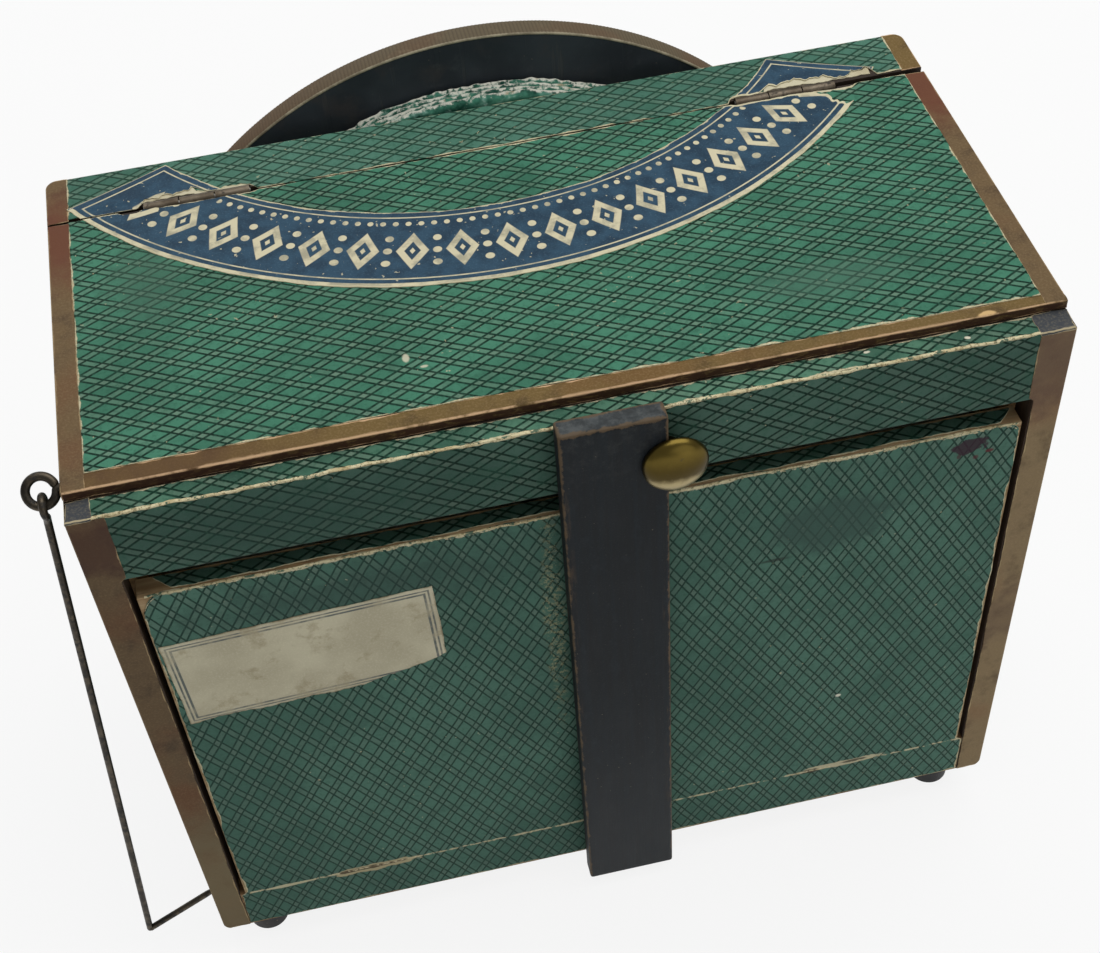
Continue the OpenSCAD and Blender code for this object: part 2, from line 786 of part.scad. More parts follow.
module lens_ring() {
    color("goldenrod") on_lens_axis(lens_ring_y)
        ring(lens_seat_r - pin_room, lens_ring_r0, lens_ring_t);
}

// Copies children to the three cell screws, on the front of the flange
module each_cell_screw() {
    for (i = [0 : 2])
        on_lens_axis(board_y1 + cell_d - cell_screw_sink) rotate(90 + 120 * i)
            translate([cell_screw_ring_r, 0, 0]) children();
}

// Hole for a cell screw, with room for its head in front
module cell_screw_hole() {
    translate([0, 0, -cell_screw_len - seat_room])
        cylinder(r = cell_screw_r + pin_room, h = cell_screw_len + cell_d, $fn = 32);
    cylinder(r = 2 * cell_screw_r + seat_room, h = cell_d, $fn = 32);
}

module cell_screws() {
    color("goldenrod") each_cell_screw() {
        translate([0, 0, -cell_screw_len]) cylinder(r = cell_screw_r, h = cell_screw_len, $fn = 32);
        cylinder(r = 2 * cell_screw_r, h = cell_screw_r, $fn = 32);
    }
}

left_side_panel();
right_side_panel();
bottom_board();
front_panel();
top_strip();
back_top_rail();
back_bottom_rail();
view_runners();
view_frame();
view_sheet();
feet();
foot_screws();
hinge_fixed_leaves();
hinge_pins();
hinge_fixed_tacks();
bellows_rear_ring();
bellows();
flap_paper_hinge();
bar_bracket();
bracket_screws();
lid_panel();
lid_lining();
hinge_lid_leaves();
hinge_lid_tacks();
lid_screw_eye();
link_rod();
flap_panel();
locking_bar();
bar_pivot_pin();
latch_stud();
bellows_front_ring();
lens_board();
rim_band();
lens_cell();
lens();
lens_ring();
cell_screws();
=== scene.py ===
"""Looks of a papered wooden viewing box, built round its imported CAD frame.

Shapes are worked out in millimetres on numpy grids and put into meshes in metres. A sheet of paper
carries two attributes for its materials: paper holds the place along the sheet, the place across
it and the distance to its nearest edge, in millimetres, and bend is 1 on a fold or on a corner of
the board below and fades to 0 beside it.
"""

import json
import logging
import math
from dataclasses import dataclass, field, replace
from enum import Enum
from functools import cached_property
from typing import Callable, Optional, Union

import bmesh
import bpy
import numpy as np
from mathutils import Matrix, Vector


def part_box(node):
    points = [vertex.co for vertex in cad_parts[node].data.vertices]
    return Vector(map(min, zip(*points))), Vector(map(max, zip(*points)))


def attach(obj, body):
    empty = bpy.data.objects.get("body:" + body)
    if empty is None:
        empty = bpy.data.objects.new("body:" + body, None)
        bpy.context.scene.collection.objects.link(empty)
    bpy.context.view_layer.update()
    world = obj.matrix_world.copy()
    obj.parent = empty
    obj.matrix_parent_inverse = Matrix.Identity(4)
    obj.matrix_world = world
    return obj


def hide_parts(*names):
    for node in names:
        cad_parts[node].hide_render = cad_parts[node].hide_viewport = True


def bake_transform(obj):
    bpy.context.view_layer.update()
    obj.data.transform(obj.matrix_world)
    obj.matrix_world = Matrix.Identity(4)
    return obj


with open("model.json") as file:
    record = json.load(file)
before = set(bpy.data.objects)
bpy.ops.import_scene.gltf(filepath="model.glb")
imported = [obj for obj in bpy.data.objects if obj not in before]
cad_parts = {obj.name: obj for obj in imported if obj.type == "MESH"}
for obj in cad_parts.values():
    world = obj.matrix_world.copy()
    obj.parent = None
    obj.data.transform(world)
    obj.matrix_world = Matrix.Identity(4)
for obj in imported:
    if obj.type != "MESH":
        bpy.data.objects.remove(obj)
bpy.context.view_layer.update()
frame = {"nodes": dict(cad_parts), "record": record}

LOG = logging.getLogger("viewing_box")

# Metres in a millimetre
MM = 0.001
# Height of a sheet's outer face above its board, and the sheet's own thickness
PAPER_LIFT = 0.2
PAPER_T = 0.17
# Size of the photograph that the camera matches, in pixels
PHOTO_W, PHOTO_H = 1100, 953

Pair = tuple[float, float]
Triple = tuple[float, float, float]
Colour = Triple
Array = np.ndarray
Cut = Callable[[Array], Array]
# Sign along X and word of the two sides
SIDES = ((-1, "left"), (1, "right"))


class Axis(Enum):
    """Direction along which a profile is carried."""

    X = 0
    Y = 1
    Z = 2


def linear(colour: Colour) -> tuple[float, float, float, float]:
    """Turn a colour of 0 to 255 per channel into linear light.

    Args:
        colour: Red, green and blue as they look on a screen.

    Returns:
        The colour in linear light with an alpha of 1.
    """
    parts = np.array(colour) / 255.0
    light = np.where(parts <= 0.04045, parts / 12.92, ((parts + 0.055) / 1.055) ** 2.4)
    return (*light.tolist(), 1.0)


def span(node: str) -> tuple[Array, Array]:
    """Read a CAD node's lowest and highest corners in millimetres."""
    low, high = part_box(node)
    return np.array(low) / MM, np.array(high) / MM


# Shader maths


def operator(operation: str, reflected: bool = False) -> Callable[["Signal", "Value"], "Signal"]:
    """Make an arithmetic method of a signal.

    Args:
        operation: Operation of its Math node.
        reflected: Whether the other value comes first.

    Returns:
        The method.
    """
    def method(signal: "Signal", other: "Value") -> "Signal":
        """Add the Math node."""
        return signal.math(operation, *((other, signal) if reflected else (signal, other)))
    return method


@dataclass(frozen=True)
class Signal:
    """An output socket whose arithmetic adds Math nodes to its material."""

    shader: "Shader"
    socket: bpy.types.NodeSocket

    def math(self, operation: str, *values: "Value") -> "Signal":
        """Add one Math node on the values given."""
        return self.shader.add("ShaderNodeMath", {"operation": operation}, dict(enumerate(values)))

    __add__, __radd__ = operator("ADD"), operator("ADD", True)
    __sub__, __rsub__ = operator("SUBTRACT"), operator("SUBTRACT", True)
    __mul__, __rmul__ = operator("MULTIPLY"), operator("MULTIPLY", True)
    __truediv__, __rtruediv__ = operator("DIVIDE"), operator("DIVIDE", True)
    # The larger and the smaller of two masks
    __or__, __and__ = operator("MAXIMUM"), operator("MINIMUM")

    def __abs__(self) -> "Signal":
        """Size without sign."""
        return self.math("ABSOLUTE", self)

    def fract(self) -> "Signal":
        """Part after the point."""
        return self.math("FRACT", self)

    def root(self) -> "Signal":
        """Square root."""
        return self.math("SQRT", self)

    def step(self, low: float, high: float) -> "Signal":
        """Pass smoothly from 0 to 1 between two values.

        Args:
            low: Value at which the result is 0.
            high: Value at which the result is 1; it may be the smaller one.

        Returns:
            The smooth step.
        """
        rising = high > low
        return self.shader.add(
            "ShaderNodeMapRange", {"interpolation_type": "SMOOTHSTEP"},
            {"Value": self, "From Min": min(low, high), "From Max": max(low, high),
             "To Min": 0.0 if rising else 1.0, "To Max": 1.0 if rising else 0.0})


Value = Union[Signal, float, int, tuple]


class Shader:
    """A material under construction around one Principled surface."""

    def __init__(self, name: str) -> None:
        """Start an empty material.

        Args:
            name: Name of the material.
        """
        self.material = bpy.data.materials.new(name)
        self.material.use_nodes = True
        self.tree = self.material.node_tree
        self.tree.nodes.clear()
        self.output = self.tree.nodes.new("ShaderNodeOutputMaterial")
        self.surface = self.tree.nodes.new("ShaderNodeBsdfPrincipled")
        self.tree.links.new(self.surface.outputs[0], self.output.inputs[0])
        self.colour: Value = (0, 0, 0)
        self._place: Optional[Signal] = None

    def plug(self, socket: bpy.types.NodeSocket, value: Value) -> None:
        """Link a signal to a socket, or set a plain value on it.

        Args:
            socket: The input socket.
            value: The signal or the plain value.
        """
        if isinstance(value, Signal):
            self.tree.links.new(value.socket, socket)
        else:
            socket.default_value = value

    def add(self, kind: str, settings: Optional[dict] = None, inputs: Optional[dict] = None,
            output: int = 0) -> Signal:
        """Add a node.

        Args:
            kind: Type of the node.
            settings: Properties, set first.
            inputs: Values or links by socket name or number.
            output: Number of the output that is wanted.

        Returns:
            That output as a signal.
        """
        node = self.tree.nodes.new(kind)
        for key, value in (settings or {}).items():
            setattr(node, key, value)
        for key, value in (inputs or {}).items():
            self.plug(node.inputs[key], value)
        return Signal(self, node.outputs[output])

    @property
    def place(self) -> Signal:
        """Object coordinates in millimetres.

        Returns:
            The place as a vector.
        """
        if self._place is None:
            spot = self.add("ShaderNodeTexCoord", output=3)
            self._place = self.add("ShaderNodeVectorMath", {"operation": "SCALE"},
                                   {0: spot, "Scale": 1.0 / MM})
        return self._place

    def parts(self, vector: Signal) -> tuple[Signal, Signal, Signal]:
        """Split a vector.

        Args:
            vector: The vector.

        Returns:
            Its three parts.
        """
        first = self.add("ShaderNodeSeparateXYZ", inputs={0: vector})
        node = first.socket.node
        return first, Signal(self, node.outputs[1]), Signal(self, node.outputs[2])

    def field(self, name: str, output: int = 2) -> Signal:
        """Read a mesh attribute as a number (2) or as a vector (1)."""
        return self.add("ShaderNodeAttribute", {"attribute_name": name}, output=output)

    def noise(self, size: float, detail: float = 3.0, rough: float = 0.55,
              stretch: Triple = (1.0, 1.0, 1.0)) -> Signal:
        """Soft noise about 0.5 in object space.

        Args:
            size: Width of a blotch in millimetres.
            detail: Number of finer layers.
            rough: Strength of the finer layers.
            stretch: How much denser the noise is along each axis.

        Returns:
            The noise, mostly between 0.25 and 0.75.
        """
        spot = self.add("ShaderNodeVectorMath", {"operation": "MULTIPLY"},
                        {0: self.place, 1: tuple(part / size for part in stretch)})
        return self.add("ShaderNodeTexNoise", {},
                        {"Vector": spot, "Scale": 1.0, "Detail": detail, "Roughness": rough})

    def mix(self, factor: Value, first: Value, second: Value) -> Signal:
        """Blend two colours, plain ones as they look on a screen; a factor of 1 gives the second."""
        first, second = (linear(tone) if isinstance(tone, tuple) else tone for tone in (first, second))
        return self.add("ShaderNodeMix", {"data_type": "RGBA"}, {0: factor, 6: first, 7: second}, 2)

    def ground(self, factor: Value, first: Value, second: Value) -> None:
        """Start the surface's colour as a blend of two."""
        self.colour = self.mix(factor, first, second)

    def paint(self, factor: Value, tone: Value) -> None:
        """Lay another colour over the surface's colour."""
        self.colour = self.mix(factor, self.colour, tone)

    def close(self, rough: Value, gloss: float = 0.5, height: Optional[Signal] = None, depth: float = 0.0,
              strength: float = 0.7, **sockets: Value) -> None:
        """Set the surface's sockets.

        Args:
            rough: Roughness.
            gloss: Level of the mirror-like part.
            height: Relief of 0 to 1.
            depth: Depth of the relief in millimetres.
            strength: Strength of the relief.
            sockets: Other sockets, named with underscores for spaces.
        """
        if height is not None:
            sockets["Normal"] = self.add("ShaderNodeBump", {}, {
                "Strength": strength, "Distance": depth * MM, "Height": height})
        sockets.update(Base_Color=self.colour, Roughness=rough, Specular_IOR_Level=gloss)
        for name, value in sockets.items():
            self.plug(self.surface.inputs[name.replace("_", " ")], value)


# Finishes


@dataclass(frozen=True)
class Finish:
    """Base of the finishes: paints its material once and then hands out the same one."""

    name: str

    @cached_property
    def shader(self) -> Shader:
        """The material under construction."""
        return Shader(self.name)

    def coat(self) -> None:
        """Paint the material."""
        raise NotImplementedError

    def material(self) -> bpy.types.Material:
        """Give the finish's material, painted on first use.

        Returns:
            The material.
        """
        if self.name not in bpy.data.materials:
            self.coat()
        return bpy.data.materials[self.name]


@dataclass(frozen=True)
class Blot:
    """A mark on a paper: an uneven ellipse of another colour."""

    centre: Pair
    radii: Pair
    colour: Colour
    strength: float = 0.8
    softness: float = 0.35
    ragged: float = 0.9
    speckle: float = 0.0

    def lay(self, shader: Shader, along: Signal, across: Signal, grain: Signal) -> None:
        """Paint the mark; its edge is an ellipse moved in and out by the grain.

        Args:
            shader: The material.
            along: Place along the sheet in millimetres.
            across: Place across the sheet in millimetres.
            grain: Noise that makes the edge uneven.
        """
        side = (along - self.centre[0]) / self.radii[0]
        rise = (across - self.centre[1]) / self.radii[1]
        reach = (side * side + rise * rise).root() + (grain - 0.5) * self.ragged
        mask = reach.step(1.0, 1.0 - self.softness) * self.strength
        if self.speckle:
            mask = mask * shader.noise(0.8, 4.0, 0.7).step(self.speckle, self.speckle + 0.08)
        shader.paint(mask, self.colour)


@dataclass(frozen=True)
class CheckPaper(Finish):
    """Green paper printed with two families of slanting double lines, worn to cream at its edges."""

    ground: Colour = (73, 131, 106)
    dull: Colour = (60, 112, 90)
    band: Colour = (40, 84, 66)
    ink: Colour = (0, 31, 20)
    cream: Colour = (220, 211, 178)
    tint: Colour = (124, 142, 124)
    tilt: float = 29.3
    pitch: float = 4.87
    pair: float = 0.34
    line_w: float = 0.52
    edge_wear: float = 1.0
    fold_wear: float = 0.6
    blots: tuple[Blot, ...] = ()

    def lines(self, along: Signal, across: Signal, tilt: float) -> tuple[Signal, Signal]:
        """Draw one family of line pairs.

        The distance across the lines, divided by the pitch, is folded about the middle of each
        pair; a line is where that is half the pair's width, and the band is what lies between.

        Args:
            along: Place along the sheet in millimetres.
            across: Place across the sheet in millimetres.
            tilt: Angle of the lines in degrees.

        Returns:
            Masks of the lines and of the bands between them.
        """
        turn = math.radians(tilt)
        fold = abs(((across * math.cos(turn) - along * math.sin(turn)) / self.pitch).fract() - 0.5)
        gap = abs(fold - self.pair / 2) * self.pitch
        return gap.step(self.line_w * 0.75, self.line_w * 0.3), fold.step(self.pair / 2 + 0.03, self.pair / 2)

    def coat(self) -> None:
        """Paint ground, bands, lines, soil, marks, then wear at edges and folds."""
        shader = self.shader
        along, across, edge = shader.parts(shader.field("paper", 1))
        bend = shader.field("bend")
        cloud, soil = shader.noise(34.0), shader.noise(6.5, 5.0, 0.65)
        fibre = shader.noise(0.6, 3.0, 0.6)
        drift = (shader.noise(11.0, 2.0) - 0.5) * 0.9
        one, one_band = self.lines(along + drift, across, self.tilt)
        two, two_band = self.lines(along + drift, across, -self.tilt)
        shader.ground(cloud.step(0.34, 0.62), self.dull, self.ground)
        shader.paint((one_band + two_band) * 0.28, self.tint)
        faded = 0.86 + soil.step(0.72, 0.4) * 0.14
        shader.paint((one | two) * faded, self.ink)
        shader.paint(soil.step(0.5, 0.3) * 0.4, self.band)
        shader.paint(shader.noise(1.3, 3.0, 0.6).step(0.48, 0.7) * 0.4, self.band)
        shader.paint(fibre.step(0.45, 0.8) * 0.3, self.ground)
        for blot in self.blots:
            blot.lay(shader, along, across, soil)
        fleck = shader.noise(1.5, 2.0, 0.5).step(0.715, 0.76) * cloud.step(0.42, 0.6)
        rub = (edge - (soil - 0.47) * self.edge_wear * 4.0).step(0.2, -0.05)
        grit = shader.noise(1.4, 3.0, 0.65)
        shift = self.fold_wear * 0.4
        crack = (bend + (soil + grit - 1.0) * 1.5).step(1.15 - shift, 1.4 - shift)
        worn = rub | crack * bend.step(0.5, 0.95) | fleck * 0.6
        cream = shader.mix(fibre.step(0.3, 0.7), self.cream, (190, 176, 138))
        shader.paint(worn * 0.9, cream)
        height = fibre * 0.35 + soil * 0.5 - (one | two) * 0.1 - worn * 0.5
        shader.close(0.5 + soil * 0.25 + worn * 0.15, 0.09, height, 0.12)


@dataclass(frozen=True)
class BoundPaper(Finish):
    """Plain coloured binding paper, blotched, rubbed pale on the corners of the board, with a pale fold line
    that is partly a painted highlight and a downturned face painted darker as painted shade.
    """

    colour: Colour = (112, 94, 66)
    dark: Colour = (76, 62, 44)
    red: Colour = (116, 72, 50)
    pale: Colour = (176, 158, 124)
    fold_wear: float = 0.55
    edge_wear: float = 0.5
    skirt: float = 1000.0
    skirt_shade_and_crust: Colour = (60, 38, 29)
    blots: tuple[Blot, ...] = ()

    def coat(self) -> None:
        """Paint mottled ground, reddish patches, a darker streaked face as painted shade and crust, then pale
        wear with a fold line partly painted as a highlight.
        """
        shader = self.shader
        along, across, edge = shader.parts(shader.field("paper", 1))
        bend = shader.field("bend")
        cloud, soil = shader.noise(26.0, 4.0), shader.noise(6.0, 4.0, 0.6)
        fibre = shader.noise(0.55, 3.0, 0.6)
        shader.ground(soil.step(0.2, 0.55), self.dark, self.colour)
        shader.paint(cloud.step(0.48, 0.7) * 0.7, self.red)
        shader.paint(fibre.step(0.42, 0.75) * 0.12, self.pale)
        for blot in self.blots:
            blot.lay(shader, along, across, soil)
        streak = shader.noise(1.5, 3.0, 0.65, (0.5, 0.5, 1.6)).step(0.5, 0.64) * 0.5
        # The downturned face beyond the skirt line is painted darker: painted shade, with streaks of crust.
        shader.paint(across.step(self.skirt - 0.2, self.skirt + 0.3) * (0.92 - streak), self.skirt_shade_and_crust)
        rub = (edge - (soil - 0.47) * self.edge_wear * 4.0).step(0.2, -0.05)
        shift = self.fold_wear * 0.4
        crack = (bend + (soil - 0.5) * 2.0).step(1.15 - shift, 1.4 - shift)
        # Pale line along the fold: wear, and partly a painted highlight on the rounded fold.
        line = bend.step(0.8, 0.96) * soil.step(0.34, 0.5) * self.fold_wear
        worn = rub | crack * bend.step(0.5, 1.0) * 0.6 | line
        shader.paint(worn * 0.85, self.pale)
        height = fibre * 0.4 + soil * 0.5 - worn * 0.4
        shader.close(0.58 + soil * 0.25, 0.15, height, 0.14, 0.8)


@dataclass(frozen=True)
class CrescentPaper(Finish):
    """Blue crescent paper with cream ruled borders and a plain chain of lozenges."""

    depth: float
    half_len: float
    flare: float
    blue: Colour = (50, 78, 98)
    night: Colour = (37, 60, 78)
    cream: Colour = (212, 203, 170)
    motif_pitch: float = 11.6
    bead_pitch: float = 3.3

    def coat(self) -> None:
        """Paint the material.

        Borders are stripes of the distance to the outer rim, to the inner rim and to the ends. A
        lozenge is where the two distances from a motif's middle, each over its half size, sum to
        less than 1; beads are small circles in the same repeat.
        """
        shader = self.shader
        along, across, edge = shader.parts(shader.field("paper", 1))
        soil, fibre = shader.noise(5.0, 5.0, 0.65), shader.noise(0.5, 3.0, 0.6)
        outer = self.depth - across
        ends = self.half_len + across * (self.flare / self.depth) - abs(along)

        def stripe(place: Signal, low: float, high: float) -> Signal:
            """Mask of a ruled stripe between two places."""
            return place.step(low - 0.1, low + 0.1) * place.step(high + 0.1, high - 0.1)

        border = across & ends & (outer - 0.75)
        rules = outer.step(1.45, 1.25) * ends.step(0.3, 0.5) * along.step(97.0, 95.0)
        rules = rules | stripe(border, 0.0, 0.3) * 0.5 | stripe(border, 1.9, 2.3)
        beat = ((along / self.motif_pitch + 0.5).fract() - 0.5) * self.motif_pitch
        rise = across - self.depth * 0.53
        lozenge = abs(beat) / 3.9 + abs(rise) / 6.6
        chain = lozenge.step(1.03, 0.95) * lozenge.step(0.46, 0.54) | lozenge.step(0.2, 0.14)
        side = self.motif_pitch / 2 - abs(beat)
        for height in (-4.4, 0.0, 4.4):
            lift = rise - height
            chain = chain | (side * side + lift * lift).root().step(1.15, 0.95)
        bead = ((along / self.bead_pitch).fract() - 0.5) * self.bead_pitch
        low = across - 4.4
        chain = chain * ends.step(9.0, 9.6)
        chain = chain | (bead * bead + low * low).root().step(0.85, 0.7) * ends.step(24.0, 24.6)
        print_wear = soil.step(0.66, 0.44)
        shader.ground(soil.step(0.36, 0.64), self.night, self.blue)
        shader.paint(fibre.step(0.5, 0.8) * 0.35, (96, 124, 138))
        cream = shader.mix(soil.step(0.45, 0.7) * 0.6, self.cream, (178, 168, 136))
        shader.paint((rules | chain) * (0.72 + print_wear * 0.28), cream)
        rub = (edge - (soil - 0.46) * 3.0).step(0.2, -0.05)
        fleck = shader.noise(1.3, 2.0, 0.5).step(0.70, 0.74) * 0.7
        torn = (shader.field("bend") + (soil - 0.5) * 1.2).step(0.3, 0.5)
        shader.paint(rub | fleck | torn, cream)
        relief = fibre * 0.4 + soil * 0.5 - rub * 0.3
        shader.close(0.5 + soil * 0.25, 0.12, relief, 0.1)


@dataclass(frozen=True)
class LabelPaper(Finish):
    """Pale label with a double ruled border, foxed and scuffed, otherwise bare."""

    low: Pair
    high: Pair
    paper: Colour = (204, 197, 170)
    stain: Colour = (152, 138, 108)
    ink: Colour = (70, 82, 88)

    def coat(self) -> None:
        """Paint two rules at set distances from the nearest side, then foxing."""
        shader = self.shader
        along, across, edge = shader.parts(shader.field("paper", 1))
        soil, fibre = shader.noise(6.0, 5.0, 0.65), shader.noise(0.5, 3.0, 0.6)
        cloud = shader.noise(20.0)
        near = (along - self.low[0]) & (self.high[0] - along)
        near = near & ((across - self.low[1]) & (self.high[1] - across))
        rule = abs(near - 1.3).step(0.28, 0.16) | abs(near - 2.3).step(0.36, 0.22)
        shader.ground(cloud.step(0.35, 0.65), self.paper, (184, 176, 150))
        shader.paint(soil.step(0.52, 0.7) * 0.55, self.stain)
        shader.paint(fibre.step(0.45, 0.75) * 0.25, (226, 220, 196))
        shader.paint(rule * soil.step(0.75, 0.4) * 0.85, self.ink)
        worn = edge.step(0.5, 0.05) * soil.step(0.4, 0.6)
        shader.paint(worn * 0.7, (122, 108, 82))
        shader.close(0.62 + soil * 0.2, 0.12, fibre * 0.4 + soil * 0.6, 0.12, 0.8)


@dataclass(frozen=True)
class BoardWood(Finish):
    """Bare wood with its grain along one axis."""

    grain: Axis = Axis.X
    light: Colour = (150, 120, 82)
    dark: Colour = (104, 76, 48)

    def coat(self) -> None:
        """Paint noise drawn out along the grain, with pores and handling soil."""
        shader = self.shader
        stretch = [1.0, 1.0, 1.0]
        stretch[self.grain.value] = 0.05
        rings = shader.noise(3.2, 4.0, 0.6, tuple(stretch))
        pores = shader.noise(0.7, 2.0, 0.6, tuple(stretch))
        soil = shader.noise(16.0, 4.0, 0.6)
        shader.ground(rings.step(0.34, 0.66), self.light, self.dark)
        shader.paint(pores.step(0.58, 0.72) * 0.5, (72, 50, 32))
        shader.paint(soil.step(0.52, 0.75) * 0.4, (66, 50, 36))
        shader.close(0.55 + rings * 0.3, 0.3, rings * 0.6 + pores * 0.4, 0.15)


@dataclass(frozen=True)
class BlackBar(Finish):
    """Blackened wood with fine upright grain, grey scuffs and edges worn to brown."""

    low: Triple
    high: Triple
    black: Colour = (18, 26, 31)
    grey: Colour = (42, 49, 54)
    brown: Colour = (100, 82, 60)

    def coat(self) -> None:
        """Paint the material; an edge's nearness is the middle one of the distances to the faces."""
        shader = self.shader
        parts = shader.parts(shader.place)
        gaps = [(part - low) & (high - part) for part, low, high in zip(parts, self.low, self.high)]
        edge = (gaps[0] & gaps[1]) | ((gaps[0] | gaps[1]) & gaps[2])
        grain = shader.noise(1.3, 4.0, 0.65, (1.0, 1.0, 0.04))
        scuff = shader.noise(7.0, 5.0, 0.7, (1.0, 1.0, 0.45))
        soil, fine = shader.noise(3.0, 5.0, 0.7), shader.noise(0.5, 3.0, 0.6)
        shader.ground(grain.step(0.32, 0.7), (17, 21, 24), self.black)
        shader.paint(fine.step(0.55, 0.75) * 0.35, (58, 62, 64))
        dusty = parts[2].step(90.0, -5.0) * 0.35
        shader.paint(dusty, (64, 66, 68))
        shader.paint(scuff.step(0.52, 0.74) * 0.6, self.grey)
        top = parts[2].step(self.high[2] - 26.0, self.high[2])
        shader.paint(top * (soil.step(0.45, 0.7) * 0.35), (66, 68, 66))
        end = parts[2].step(self.high[2] - 0.7, self.high[2] - 0.1)
        shader.paint(end * (0.3 + soil.step(0.35, 0.65) * 0.5), (88, 92, 92))
        worn = (edge - (soil - 0.43) * 2.6 - top * 0.35).step(0.45, 0.0)
        shader.paint(worn * 0.8, self.brown)
        nick = shader.noise(1.6, 4.0, 0.65, (1.0, 1.0, 0.12)).step(0.52, 0.68) * gaps[0].step(2.4, 0.2)
        shader.paint(nick * scuff.step(0.42, 0.6) * 0.45, (112, 88, 62))
        fleck = shader.noise(1.0, 2.0, 0.5).step(0.72, 0.77)
        shader.paint(fleck * 0.5, (134, 124, 104))
        height = grain * 0.6 + fine * 0.25 - worn * 0.35
        shader.close(0.42 + scuff * 0.3, 0.16, height, 0.14, 0.8)


@dataclass(frozen=True)
class CrazedBlack(Finish):
    """Black lacquered wood with a fine upright craze and dusty rubs."""

    black: Colour = (56, 62, 67)
    deep: Colour = (44, 49, 54)
    rub: Colour = (84, 87, 86)

    def coat(self) -> None:
        """Paint drawn-out noise gives the craze, rounder noise gives rubs and dust."""
        shader = self.shader
        craze = shader.noise(3.0, 4.0, 0.6, (1.0, 1.0, 0.06)).step(0.6, 0.68)
        cloud, soil = shader.noise(24.0, 4.0), shader.noise(4.0, 5.0, 0.68)
        fine = shader.noise(0.6, 3.0, 0.6)
        shader.ground(cloud.step(0.35, 0.65), self.deep, self.black)
        smear = shader.noise(14.0, 4.0, 0.6).step(0.52, 0.7) * 0.4
        shader.paint(smear, (74, 66, 62))
        shader.paint(soil.step(0.55, 0.8) * 0.35, self.rub)
        shader.paint(craze * cloud.step(0.4, 0.6) * 0.25, (84, 82, 74))
        fleck = shader.noise(1.1, 2.0, 0.5).step(0.73, 0.77)
        shader.paint(fleck * 0.5, (128, 118, 98))
        shader.close(0.36 + soil * 0.35, 0.25, fine * 0.3 + soil * 0.4 - craze * 0.6, 0.12)


@dataclass(frozen=True)
class RibbedBand(Finish):
    """Brown ribbed paper band, its ribs rubbed pale and its valleys dark."""

    back: float
    colour: Colour = (100, 89, 70)
    dark: Colour = (70, 59, 47)
    pale: Colour = (140, 127, 103)

    def coat(self) -> None:
        """Paint the material from the bend attribute, which is 1 on top of a rib."""
        shader = self.shader
        rib, soil = shader.field("bend"), shader.noise(4.0, 5.0, 0.65)
        fine, cloud = shader.noise(0.5, 3.0, 0.6), shader.noise(16.0)
        side, depth, _ = shader.parts(shader.place)
        shader.ground(0.6 + rib.step(0.0, 0.7) * 0.4, self.dark, self.colour)
        rust = cloud.step(0.45, 0.7) * 0.5 | side.step(-10.0, -85.0) * 0.7
        shader.paint(rust, (102, 76, 56))
        shader.paint(soil.step(0.56, 0.76) * 0.4, self.pale)
        seam = depth.step(self.back + 0.45, self.back + 0.1) * (0.4 + soil.step(0.4, 0.6) * 0.5)
        shader.paint(seam, (178, 168, 142))
        shader.close(0.6 + soil * 0.2, 0.15, fine * 0.4 + soil * 0.4, 0.12)


@dataclass(frozen=True)
class PleatPaper(Finish):
    """Green bellows paper, crumpled and rubbed to cream along its folds."""

    green: Colour = (78, 142, 118)
    deep: Colour = (12, 60, 48)
    cream: Colour = (244, 242, 226)

    def coat(self) -> None:
        """Paint green in patches by noise, cream along the folds and on rubs."""
        shader = self.shader
        bend = shader.field("bend")
        crumple, soil = shader.noise(4.2, 4.0, 0.55), shader.noise(1.5, 5.0, 0.66)
        fine = shader.noise(0.5, 3.0, 0.6)
        shader.ground(crumple.step(0.3, 0.7), self.deep, self.green)
        patch = shader.noise(3.0, 3.0, 0.55)
        shader.paint(patch.step(0.5, 0.74) * 0.6, (158, 208, 190))
        shader.paint(soil.step(0.58, 0.74) * 0.4, self.cream)
        worn = (bend * 1.2 + (soil - 0.5) * 1.8 - patch.step(0.55, 0.42) * 0.15).step(0.74, 1.1)
        tan = shader.mix(crumple.step(0.56, 0.68), self.cream, (196, 178, 146))
        shader.paint(worn * 0.9, tan)
        shader.close(0.6 + soil * 0.2, 0.15, crumple * 0.8 + fine * 0.15, 0.3, 0.8)


@dataclass(frozen=True)
class OldMetal(Finish):
    """Metal with a patina: bright and dull tones, dirt in patches and uneven polish."""

    bright: Colour
    dull: Colour
    dirt: Colour
    polish: float = 0.32
    spread: float = 3.0
    dirt_share: float = 0.5

    def coat(self) -> None:
        """Paint noise blends bright to dull metal, and dirt lowers the metal look."""
        shader = self.shader
        tarnish, soil = shader.noise(self.spread, 4.0, 0.6), shader.noise(self.spread * 0.45, 5.0, 0.7)
        fine = shader.noise(0.35, 3.0, 0.6)
        shader.ground(tarnish.step(0.36, 0.64), self.bright, self.dull)
        dirty = soil.step(0.72 - self.dirt_share * 0.3, 0.86 - self.dirt_share * 0.3)
        shader.paint(dirty * 0.85, self.dirt)
        metal = 0.95 - dirty * 0.6
        shader.close(self.polish + tarnish * 0.18 + dirty * 0.25,
                     height=fine * 0.4 + soil * 0.5 - dirty * 0.2, depth=0.06, Metallic=metal)


